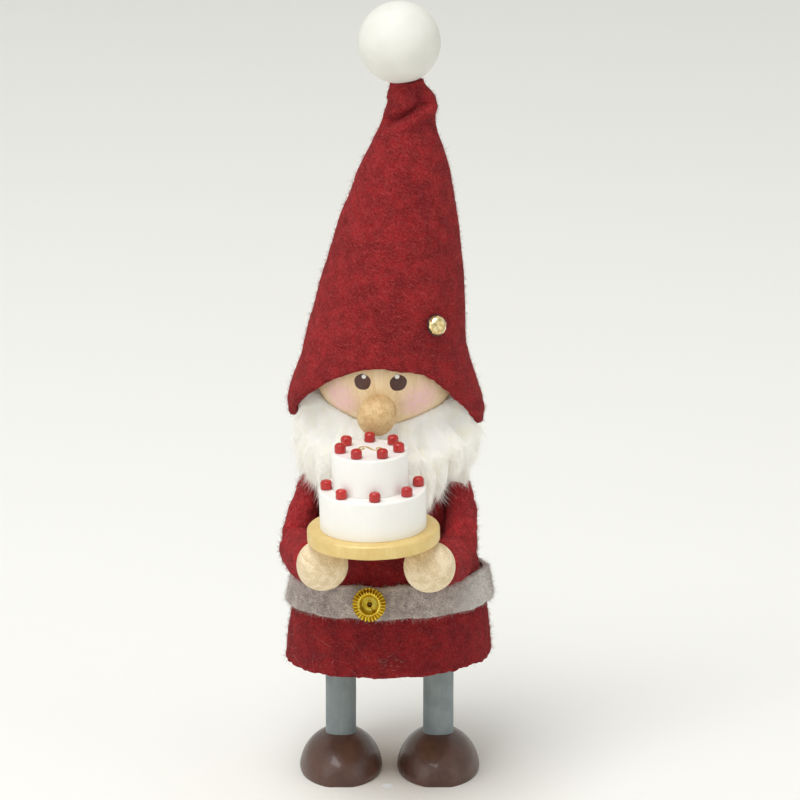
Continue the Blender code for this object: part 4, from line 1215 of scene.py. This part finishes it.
# %% Beard hairs
def beard_hairs(name, count, seed, length, thick, lift, gather, lowest, highest, up=False, steps=3):
    """Hairs on the fleece between two shares of its drop. They lie down along the surface and drift
    with a smooth noise, so that neighbours agree; low down they gather to the middle of their lock."""
    rng = np.random.default_rng(seed)
    rows, columns = beard_outside.shape[:2]
    across = rng.integers(1, rows - 1, count)
    drop = lowest + (highest - lowest) * rng.random(count)
    down = np.clip(np.round(drop * (columns - 1)).astype(int), 1, columns - 2)
    roots = beard_outside[across, down] + rng.normal(size=(count, 3)) * 0.08
    shown = roots[:, 2] < brim_height(np.arctan2(roots[:, 0], -roots[:, 1])) + 0.3
    across, down, roots, drop = across[shown], down[shown], roots[shown], drop[shown]
    number = len(roots)
    along = unit(beard_outside[across, down + 1] - beard_outside[across, down - 1])
    sideways = unit(beard_outside[across + 1, down] - beard_outside[across - 1, down])
    out = unit(np.cross(along, sideways))
    out = out * np.sign((out * (roots - HEAD)).sum(axis=-1, keepdims=True))
    low_part = smoothstep((drop - 0.4) / 0.4)
    middle_pull = -gather * beard_lock(np.arctan2(roots[:, 0] - HEAD[0], -roots[:, 1])) * low_part
    drift = 0.5 * noise(roots, 2.6, seed) + 0.22 * rng.normal(size=number) + middle_pull
    if up:
        along = -along
    rise = lift * (0.3 + rng.random(number))
    leave = unit(along + sideways * drift[:, None] + out * rise[:, None])
    size = length * (0.6 + 0.6 * rng.random(number)) * (0.75 + 0.5 * low_part)
    bend = sideways * (0.25 * rng.normal(size=number))[:, None] - out * (0.45 * rise)[:, None]
    tone = np.clip(0.55 + 0.3 * noise(roots, 1.2, seed + 3) + 0.25 * rng.normal(size=number), 0, 1)
    return fibre_mesh(name, roots - out * 0.06, leave, bend, size, thick, tone, FLEECE_HAIR,
                      steps)


# name, count, seed, length, thickness, lift, gather, lowest and highest share of the drop
BEARD_HAIRS = [
    ("beard_hairs_lower", 9000, 91, 2.8, 0.020, 0.07, 1.6, 0.45, 1.0),
    ("beard_hairs_upper", 9000, 92, 2.0, 0.018, 0.07, 0.0, 0.0, 0.6),
    ("beard_locks", 6000, 93, 3.4, 0.022, 0.08, 2.4, 0.78, 1.0),
]
for row in BEARD_HAIRS:
    beard_hairs(*row)
beard_hairs("beard_down", 5000, 94, 1.1, 0.016, 0.5, 0.3, 0.0, 1.0, steps=2)
beard_hairs("beard_edge", 7000, 95, 0.9, 0.018, 0.2, 0.0, 0.0, 0.07, up=True, steps=2)

# %% [markdown]
# ## Ball, crystal and buckle
#
# The white ball on the hat's tip is turned wood, painted satin white, with the roll of felt in its
# bore; its white is set darker than the cake's, as painted shade. The crystal is a small cut glass
# stone with foil behind it, glued to the hat, with flashes of its facets painted on as painted
# reflection and a dark ring round its foot. The buckle is a stamped sequin: a thin dished disc of
# gold foil, with a pinhole and a rim pressed into flutes. Painted shade darkens the gold in the
# grooves, in a ring in the dish and on a floor in the pinhole, told apart by a tone stored at each
# of its points.

# %% The ball
ball_angle = math.degrees(math.acos(BALL_BORE / BALL_R))
ball_mouth = BALL_FLOOR - BALL[2]  # heights of the bore's mouth and end, from the ball's middle
ball_end = BALL_FLOOR + 3.9 - BALL[2]
ball_profile = np.vstack([
    [(0.01, ball_end), (BALL_BORE - 0.05, ball_end)],
    line((BALL_BORE, BALL_FLOOR + 3.6 - BALL[2]), (BALL_BORE, ball_mouth + 0.1), 5),
    arc(0, 0, BALL_R, -ball_angle + 0.5, 89.6, 110),
])
ball_rings = turned(ball_profile, BALL, sides=170)
add_grid("hat_ball_painted", ball_rings, BALL_PAINT_SHADED, ["hat_ball"])

# %% Gold foil
GOLD_FOIL, foil_tree, foil_shader, foil_vector = start("gold foil", 0.16, Metallic=1.0)
foil_patches = stretched_noise(foil_tree, foil_vector, (0, 0, 0), (0.0012, 0.0012, 0.0012), detail=3.0)
foil_gold = mixed(foil_tree, spread(foil_tree, foil_patches, 0.35, 0.65), srgb(250, 228, 104),
                  srgb(226, 192, 60))
# painted shade: the tone darkens the gold in the grooves, in the dish and in the pinhole
foil_painted_shade = add(foil_tree, "ShaderNodeAttribute", attribute_name="tone").outputs["Fac"]
foil_colour = mixed(foil_tree, foil_painted_shade, foil_gold, srgb(84, 62, 16))
foil_tree.links.new(foil_colour, foil_shader.inputs["Base Color"])
foil_tree.links.new(spread(foil_tree, foil_patches, 0.3, 0.7, 0.12, 0.24), foil_shader.inputs["Roughness"])
bump(foil_tree, foil_shader, foil_patches, 0.00005, 0.6)
print("foil is metal", foil_shader.inputs["Metallic"].default_value)

# %% The buckle
BUCKLE_R, BUCKLE_HOLE_R, FLUTES = 3.25, 0.45, 28
BUCKLE_MOVED = np.array([0.2, 0, 0.4])  # from its packed place
BUCKLE = in_body("buckle") + BUCKLE_MOVED
buckle_axis = disc_axis("buckle", (0, -1, 0))


def buckle_rings():
    """Over the front from the hole to the rim and back behind it: the dish's depth against the
    radius, with a beaded lip at the hole and waves that grow towards the rim. A thin floor closes
    the hole. The second result is painted shade: 1 in the grooves and on that floor, a softer ring
    in the dish, and 0 on the ridges."""
    dished = [np.linspace(BUCKLE_HOLE_R, 0.8, 8), np.linspace(0.85, BUCKLE_R, 40)]
    radius = np.concatenate([[0.1, 0.3], *dished])
    dish = 0.10 + 0.75 * smoothstep((radius - 1.3) / 0.75) - 0.25 * smoothstep((radius - 2.2) / 0.9)
    lip = 0.16 * bell((radius - 0.66) / 0.12)
    front = -0.42 + dish + lip - 0.12 * (radius < BUCKLE_HOLE_R)
    angle = circle(FLUTES * 12)
    grown = smoothstep((radius - 2.05) / 0.45)[:, None]
    ridge = np.cos(FLUTES * angle + 0.6 * np.sin(angle))[None]
    spread_out = radius[:, None] + 0.07 * (radius / BUCKLE_R)[:, None] ** 8 * ridge
    first, second, axis = frame_round(buckle_axis)
    spoke = np.cos(angle)[:, None] * first + np.sin(angle)[:, None] * second
    fold = 0.14 * bell((angle - 5.2) / 0.06)[None] * smoothstep((2.1 - radius) / 0.3)[:, None]
    height = front[:, None] + 0.24 * grown * ridge + fold
    face = BUCKLE + spread_out[..., None] * spoke + height[..., None] * axis
    back = face - 0.12 * axis
    # painted shade, darker gold: in the grooves, on the pinhole's floor and in a ring in the dish
    groove = grown * (0.5 - 0.5 * ridge) ** 1.5 * 0.55 + 3 * smoothstep((0.56 - radius) / 0.1)[:, None]
    groove = np.clip(groove + 0.5 * bell((radius - 1.45) / 0.55)[:, None], 0, 1)
    return np.vstack([face, back[::-1]]), np.vstack([groove, groove[::-1]])


buckle_grid, buckle_painted_shade = buckle_rings()
buckle_points, buckle_quads, buckle_ends = skin(to_row(buckle_grid), wrap=True)
add_mesh("buckle_sequin", buckle_points, buckle_quads, buckle_ends, GOLD_FOIL, ["buckle"],
         tone=buckle_painted_shade.ravel(), corner=75)

# %% The crystal
# painted reflection: bright and dark champagne patches with firm edges stand for the flashes of the facets
CRYSTAL_PAINTED_FLASHES = mottled("cut crystal with painted facet flashes", srgb(240, 222, 164), srgb(200, 172, 104), (0.0008, 0.0008, 0.0008), 0.05,
                  turn=(20, 30, 0), edge=(0.4, 0.6), Metallic=0.65, Coat_Weight=1.0, Coat_Roughness=0.02)
DARK_RING = mottled("dark ring", srgb(70, 24, 30), srgb(30, 14, 16), (0.0004, 0.0004, 0.0004), 0.3,
               depth=0.00005)

CRYSTAL_R, CRYSTAL_TALL, FACETS = 1.95, 1.35, 9
crystal_points = cad_points("hat_crystal")
crystal_axis = disc_axis("hat_crystal", (1, -1, 0))
CRYSTAL_MOVED = np.array([-0.2, -0.1, 0.6])  # from its packed place
crystal_middle = crystal_points.mean(axis=0) + CRYSTAL_MOVED
crystal_foot = crystal_middle + crystal_axis * ((crystal_points - crystal_middle) @ crystal_axis).min()
# rings of the cut: share of the radius, share of the height, and whether turned by half a side
CUT = [(0.9, 0.0, 0), (1.0, 0.06, 0), (1.0, 0.24, 0), (0.9, 0.55, 1), (0.68, 0.82, 0), (0.36, 1.0, 1)]


def crystal_rings():
    """A domed cut: a small flat table, three rows of facets, and a round girdle over a flat back.
    Neighbouring rings of corners are turned by half a side, which makes the triangles."""
    first, second, axis = frame_round(crystal_axis)
    rings = []
    for radius, height, half in CUT:
        angle = circle(FACETS) + half * math.pi / FACETS
        spoke = np.cos(angle)[:, None] * first + np.sin(angle)[:, None] * second
        rings.append(crystal_foot + CRYSTAL_R * radius * spoke + CRYSTAL_TALL * height * axis)
    return np.array(rings)


add_grid("hat_crystal_cut", crystal_rings(), CRYSTAL_PAINTED_FLASHES, ["hat_crystal"], corner=5)
# a dark ring round the stone's foot
glue_profile = np.vstack([arc(CRYSTAL_R, -0.05, 0.15, -90, 180, 14),
                          [(CRYSTAL_R - 0.5, 0.0), (CRYSTAL_R - 0.5, -0.2)]])
glue_rings = turned(glue_profile, crystal_foot, crystal_axis, sides=80)
glue_rings = glue_rings + 0.06 * noise(glue_rings, 0.6, 101)[..., None]
add_grid("crystal_dark_ring", glue_rings, DARK_RING, wrap=True)

# %% [markdown]
# ## Tray, cake and cherries
#
# The tray is a gold painted wooden disc, tilted a little, and the cake on it is two white painted
# tiers. The cherries are short pegs with rounded tops dipped in red. On the top tier a fine gold
# line is drawn as a free scroll: a curve whose bend grows evenly from its middle to both ends.

# %% Tray and tiers
tray_axis = disc_axis("tray", (0, 0, 1))


def disc(radius, tall, edge, sink):
    """A disc's profile: flat ends, a rounded edge above and below; sink lowers the underside."""
    half = tall / 2
    low, foot = -half - sink, min(edge, 0.35 if sink == 0 else 0.1)
    return np.vstack([
        [(0.01, low), (radius * 0.5, low)],
        arc(radius - foot, low + foot, foot, -90, 0, 10),
        line((radius, low + foot), (radius, half - edge), 6),
        arc(radius - edge, half - edge, edge, 0, 90, 10),
        line((radius - edge, half), (0.3, half), 14),
        [(0.01, half)],
    ])


def add_disc(name, node, radius, tall, edge, material, wobble, sink=0.0):
    """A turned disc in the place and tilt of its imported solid, a little uneven as brushed paint is."""
    rings = turned(disc(radius, tall, edge, sink), in_body(node), tray_axis, sides=200)
    rings = rings + wobble * layered(rings, 3.0, 111)[..., None] * tray_axis
    return add_grid(name, rings, material, [node])


UPPER_TALL = 7.0
add_disc("tray_gold", "tray", 12.5, 2.7, 0.6, GOLD_PAINT, 0.03)
add_disc("cake_lower", "cake_lower_tier", 10.05, 7.3, 0.45, WHITE_PAINT, 0.02, GAP - 0.01)
add_disc("cake_upper", "cake_upper_tier", 7.15, UPPER_TALL, 0.40, WHITE_PAINT, 0.02,
         GAP - 0.01)

# %% Cherries
CHERRY_R, CHERRY_PEG, CHERRY_TALL = 1.08, 1.9, 1.75  # radius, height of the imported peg, height drawn
cherry_nodes = sorted(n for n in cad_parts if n.startswith("cherry_"))
for number, node in enumerate(cherry_nodes):
    foot = in_body(node) - tray_axis * (CHERRY_PEG / 2 + GAP - 0.05)
    profile = np.vstack([
        [(0.01, 0.0), (CHERRY_R - 0.2, 0.0)],
        arc(CHERRY_R - 0.2, 0.2, 0.2, -90, 0, 5),
        line((CHERRY_R, 0.25), (CHERRY_R * 0.99, CHERRY_TALL - 0.75), 4),
        arc(CHERRY_R - 0.68, CHERRY_TALL - 0.68, 0.68, 5, 84, 12),
        [(0.2, CHERRY_TALL + 0.01), (0.01, CHERRY_TALL + 0.02)],
    ])
    rings = turned(profile, foot, tray_axis, sides=40)
    rings = rings + 0.05 * noise(rings + number * 7.0, 0.9, 121)[..., None] * unit(rings - in_body(node))
    add_grid(f"{node}_painted", rings, CHERRY_PAINT, [node])


# %% The gold scroll
def scroll_path(curl, length, steps):
    """A double spiral: its direction is curl * t^2 for t from -1 to 1, and the sums of its steps are
    its points."""
    t = np.linspace(-1, 1, steps)
    way = curl * t**2 - math.pi / 4
    step = length / (steps - 1)
    x, y = np.cumsum(np.cos(way)) * step, np.cumsum(np.sin(way)) * step
    return np.stack([x - x.mean(), y - y.mean()], axis=-1)


def add_scroll():
    """A flattened bead of paint along the path, thinner at its ends."""
    path = scroll_path(7.4, 9.6, 240)
    first, second, axis = frame_round(tray_axis)
    top = in_body("cake_upper_tier") + tray_axis * (UPPER_TALL / 2 + 0.05)
    line_points = top + path[:, :1] * first + (path[:, 1:] * 1.5 + 0.9) * second
    tangent = unit(np.gradient(line_points, axis=0))
    across = np.cross(axis, tangent)
    ends = np.sqrt(np.clip(1 - np.abs(np.linspace(-1, 1, len(path))) ** 6, 0.03, 1))
    wide = 0.22 * ends * (0.8 + 0.2 * np.sin(np.linspace(0, 17, len(path))))
    angle = circle(10)
    rings = (
        line_points[:, None]
        + (wide[:, None] * np.cos(angle))[..., None] * across[:, None]
        + (0.06 * ends[:, None] * np.sin(angle))[..., None] * axis
    )
    return add_grid("cake_scroll", rings, SCROLL_PAINT)


add_scroll()

# %% [markdown]
# ## Sleeves and hands
#
# One wire runs from hand to hand through the shoulders, and each arm is a roll of red felt over
# it, lying on the coat and ending round the ball of the hand. The sleeve is an oval tube along
# that path. Wherever a point would be inside the coat or the hand, it is moved out to just clear
# of it, so the sleeve flattens against the coat and cups the hand as real felt does.

# %% Arms
HAND_R = 4.9
HAND_GRAIN = (0.2, -1, 0.2)  # the axis the balls were turned on
ARM_Z = COAT_TOP - GAP - 9.1
SLEEVE_WIDE, THICK_SHOULDER, THICK_WRIST = 4.2, 2.3, 4.1
SLEEVE_FOLDS = [(0.52, -0.35), (0.6, 0.22), (0.45, 0.2)]  # share of the way down, height
# down each sleeve: degrees round from the front, how far its middle stands off the coat, and its
# height over the shoulder wire
SLEEVES = {
    "left": [(84.84, 1.943, 2.1), (78.19, 2.15, -3.9), (63.16, 3.256, -10.8), (39.29, 7.168, -10.8)],
    "right": [(83.04, 1.787, 2.1), (70.14, 1.829, -3.9), (49.27, 3.432, -10.8), (34.74, 7.122, -10.6)],
}
HANDS_MOVED = np.array([0.45, 0, 0])  # from their packed places
HANDS = {side: in_body(f"hand_{side}") + HANDS_MOVED for side in SLEEVES}
print("hands at", {side: place.round(1).tolist() for side, place in HANDS.items()})


# %% The roll of felt
def smooth_path(points, steps):
    """A curve through the points: on each stretch, a cubic that matches its neighbours' slopes."""
    points = np.array(points, float)
    ends = np.vstack([2 * points[0] - points[1], points, 2 * points[-1] - points[-2]])
    t = np.linspace(0, 1, steps, endpoint=False)[:, None]
    a, b, c, d = (ends[k:len(ends) - 3 + k, None] for k in range(4))
    square, cube = a - 2.5 * b + 2 * c - d / 2, 1.5 * (b - c) + (d - a) / 2
    curve = b + (c - a) * t / 2 + square * t**2 + cube * t**3
    return np.vstack([curve.reshape(-1, 3), points[-1:]])


def sleeve_rings(side):
    """Oval rings down the arm, rounded at the shoulder, cleared of the coat and the hand."""
    sign = -1 if side == "left" else 1
    hand = HANDS[side]
    points = [
        round_front(sign * math.radians(turn), coat_radius(ARM_Z + rise) + stand, ARM_Z + rise)
        for turn, stand, rise in SLEEVES[side]
    ]
    towards = unit(hand - points[-1])
    path = smooth_path(points + [hand - towards * 2.6], 34)
    t = np.linspace(0, 1, len(path))
    thick = THICK_SHOULDER + (THICK_WRIST - THICK_SHOULDER) * t**0.8
    rounded = np.sqrt(1 - np.clip(1 - t * 7, 0, 0.97) ** 2)
    gathered = 1 + 0.05 * smoothstep((t - 0.8) / 0.2) - 0.5 * smoothstep((t - 0.965) / 0.035)
    tangent = unit(np.gradient(path, axis=0))
    across = np.array([sign, 0, 0.0])
    first = unit(across - (tangent @ across)[:, None] * tangent)
    second = np.cross(tangent, first)
    angle = circle(150)
    size = (rounded * gathered)[:, None]
    oval = (
        (thick[:, None] * size * np.cos(angle))[..., None] * first[:, None]
        + (SLEEVE_WIDE * size * np.sin(angle))[..., None] * second[:, None]
    )
    rings = path[:, None] + oval
    outward = unit(oval)
    folds = sum(tall * bell((t - place) / 0.05) for place, tall in SLEEVE_FOLDS)
    lumps = 0.32 * layered(rings, 3.4, 131) + 0.12 * noise(rings, 0.7, 135) + folds[:, None]
    rings = rings + (lumps * size)[..., None] * outward
    flat = np.hypot(rings[..., 0], rings[..., 1])
    clear = coat_radius(rings[..., 2]) + 0.45
    rings[..., :2] *= np.maximum(1, clear / np.maximum(flat, 1e-6))[..., None]
    from_hand = rings - hand
    distance = np.linalg.norm(from_hand, axis=-1, keepdims=True)
    return hand + from_hand * np.maximum(1, (HAND_R + 0.12) / np.maximum(distance, 1e-6))


# %% Sleeves and hands
hand_profile = arc(0, 0, HAND_R, -89.5, 89.5, 90)
for number, side in enumerate(SLEEVES):
    rings = sleeve_rings(side)
    sleeve = add_grid(f"sleeve_{side}_felt", rings, SLEEVE_RED_LIT, [f"sleeve_{side}"])
    fuzz(f"sleeve_{side}_fuzz", rings[6:], 4200, 0.9, 0.6, RED_FIBRE, 141 + number)
    hand_rings = turned(hand_profile, HANDS[side], HAND_GRAIN, sides=140)
    hand_rings = hand_rings + 0.04 * noise(hand_rings, 3.0, 151 + number)[..., None]
    add_grid(f"hand_{side}_ball", hand_rings, HAND_WOOD, [f"hand_{side}"])

# %% [markdown]
# ## Legs and shoes
#
# The legs are painted dowels, and each shoe is half an egg: flat below, round above, blunt at the
# toe and the heel. They stand square to the ground, so their places come straight from the packed
# solids, in the row's own millimetres.

# %% Legs and shoes
LEG_R, SHOE_R, SHOE_HALF_LENGTH, SHOE_TIP_R = 3.0, 8.2, 10.8, 2.6


def shoe_rings(centre):
    """Arches from heel to toe: the width follows an ellipse cut off where it is SHOE_TIP_R wide, and
    each arch runs over the top and back along the sole, which has a small rounded edge."""
    spread_half = SHOE_HALF_LENGTH / math.sqrt(1 - (SHOE_TIP_R / SHOE_R) ** 2)
    share = np.sin(np.linspace(-math.pi / 2, math.pi / 2, 110))
    end = np.sqrt(np.clip(1 - np.clip((np.abs(share) - 0.975) / 0.025, 0, 1) ** 2, 0.02, 1))
    along = SHOE_HALF_LENGTH * share
    half = SHOE_R * np.sqrt(1 - (along / spread_half) ** 2) * (0.85 + 0.15 * end)
    over = np.linspace(0, math.pi, 90)
    top = np.stack([np.outer(half, np.cos(over)), np.outer(half, np.maximum(np.sin(over), 0.0))], axis=-1)
    soften = 0.25 * bell(top[..., 1] / 0.5)
    top[..., 0] -= np.sign(top[..., 0]) * soften
    sole_x = np.outer(half - 0.3, np.linspace(-1, 1, 14)[1:-1])
    sole = np.stack([sole_x, 0 * sole_x], axis=-1)
    section = np.concatenate([top, sole], axis=1)
    lengthwise = np.broadcast_to(along[:, None], section.shape[:2])
    return np.stack([centre[0] + section[..., 0], centre[1] + lengthwise, section[..., 1]], axis=-1)


def add_standing(name, rings_mm, material, nodes):
    """A piece from rings in the row's own millimetres."""
    points, quads, triangles = skin(rings_mm * MM)
    return add_mesh(name, points, quads, triangles, material, nodes)


for side in ("left", "right"):
    shoe_middle = middle(f"shoe_{side}")
    add_standing(f"shoe_{side}_painted", shoe_rings(shoe_middle), SHOE_PAINT, [f"shoe_{side}"])
    low, high = box_mm(f"leg_{side}")
    leg_profile = np.vstack([
        [(0.01, low[2]), (LEG_R - 0.4, low[2]), (LEG_R, low[2] + 0.4)],
        line((LEG_R, low[2] + 0.6), (LEG_R, high[2] - 0.6), 60),
        [(LEG_R, high[2] - 0.4), (LEG_R - 0.4, high[2]), (0.01, high[2])],
    ])
    leg_middle = middle(f"leg_{side}")
    leg = turned(leg_profile, (leg_middle[0], leg_middle[1], 0), sides=80)
    leg[..., :2] += 0.035 * noise(leg * np.array([1, 1, 0.3]), 1.6, 161)[..., None]
    add_standing(f"leg_{side}_painted", leg, LEG_PAINT, [f"leg_{side}"])

# %% [markdown]
# ## The pieces inside
#
# The turned core, the neck peg and the arm wire stay as packed: nothing of them shows but the
# core's underside, seen from below. They still get a finish of their own.

# %% Inner pieces
STEEL = mottled("steel wire", srgb(150, 150, 152), srgb(184, 184, 188), (0.0001, 0.0001, 0.004), 0.35,
                turn=(0, 90, 0), Metallic=1.0)
for node, material in (("body_core", CORE_WOOD), ("neck_peg", CORE_WOOD), ("arm_wire", STEEL)):
    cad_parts[node].data.materials.clear()
    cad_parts[node].data.materials.append(material)

# %% [markdown]
# ## Floor, light and camera
#
# The figure stands on a pale sheet that curves up far behind it, so there is no horizon. A large
# lamp high in front and two weaker ones at the sides give soft light with faint shadows, and a
# pale sky fills the rest. The lens is long, looking slightly down.

# %% Floor
FLOOR_PAINT = mottled("studio floor", srgb(246, 246, 242), srgb(243, 243, 238), (0.2, 0.2, 0.2), 0.8)
FLOOR_SIDES = 120
floor_radius = np.concatenate([[0.001], np.linspace(0.05, 3.0, 80)])
floor_rise = 1.2 * smoothstep((floor_radius - 1.4) / 1.6) ** 1.5
floor_angle = circle(FLOOR_SIDES)
floor_rings = np.stack([
    np.outer(floor_radius, np.cos(floor_angle)),
    np.outer(floor_radius, np.sin(floor_angle)),
    np.repeat(floor_rise[:, None], FLOOR_SIDES, axis=1),
], axis=-1)
floor_index = np.arange(floor_rings[..., 0].size).reshape(floor_rings.shape[:2])
floor_beside = np.roll(floor_index, -1, axis=1)
floor_corners = [floor_index[:-1], floor_index[1:], floor_beside[1:], floor_beside[:-1]]
floor_quads = np.stack(floor_corners, axis=-1).reshape(-1, 4)
floor_mesh = bpy.data.meshes.new("studio_floor")
floor_mesh.from_pydata(floor_rings.reshape(-1, 3).tolist(), [], floor_quads.tolist())
floor_mesh.shade_smooth()
floor_mesh.materials.append(FLOOR_PAINT)
floor = bpy.data.objects.new("studio_floor", floor_mesh)
bpy.context.scene.collection.objects.link(floor)
print("floor of", len(floor_quads), "faces")

# %% Sky and lamps
world = bpy.data.worlds.new("pale sky")
world.use_nodes = True
world.node_tree.nodes["Background"].inputs["Color"].default_value = (1.0, 1.0, 0.975, 1.0)
world.node_tree.nodes["Background"].inputs["Strength"].default_value = 0.57
bpy.context.scene.world = world


def add_lamp(name, place, target, size, power):
    """A square area lamp at a place in metres, facing the target."""
    light = bpy.data.lights.new(name, "AREA")
    light.size = size
    light.energy = power
    lamp = bpy.data.objects.new(name, light)
    lamp.location = place
    lamp.rotation_euler = (Vector(target) - Vector(place)).to_track_quat("-Z", "Y").to_euler()
    bpy.context.scene.collection.objects.link(lamp)


add_lamp("key", (-0.25, -0.40, 1.2), (0, 0, 0.06), 0.7, 9.4)
add_lamp("left fill", (-1.0, -0.7, 0.55), (0, 0, 0.08), 0.8, 2.0)
add_lamp("right fill", (1.1, -0.5, 0.5), (0, 0, 0.08), 0.8, 1.0)
print("lamps", {light.name: round(light.energy, 1) for light in bpy.data.lights})

# %% Camera
CAMERA_DOWN = 16.739  # degrees the camera looks down
camera_data = bpy.data.cameras.new("camera")
camera_data.lens = 194.78
camera_data.sensor_width = 36
camera = bpy.data.objects.new("camera", camera_data)
camera.location = (AXIS[0] * MM + 0.00205, AXIS[1] * MM - 0.8, 0.3165)
camera.rotation_euler = (math.radians(90 - CAMERA_DOWN), 0, 0)
bpy.context.scene.collection.objects.link(camera)
bpy.context.scene.camera = camera
bpy.context.scene.view_settings.view_transform = "Standard"
print("camera at", [round(c, 3) for c in camera.location], "lens", round(camera_data.lens, 1))
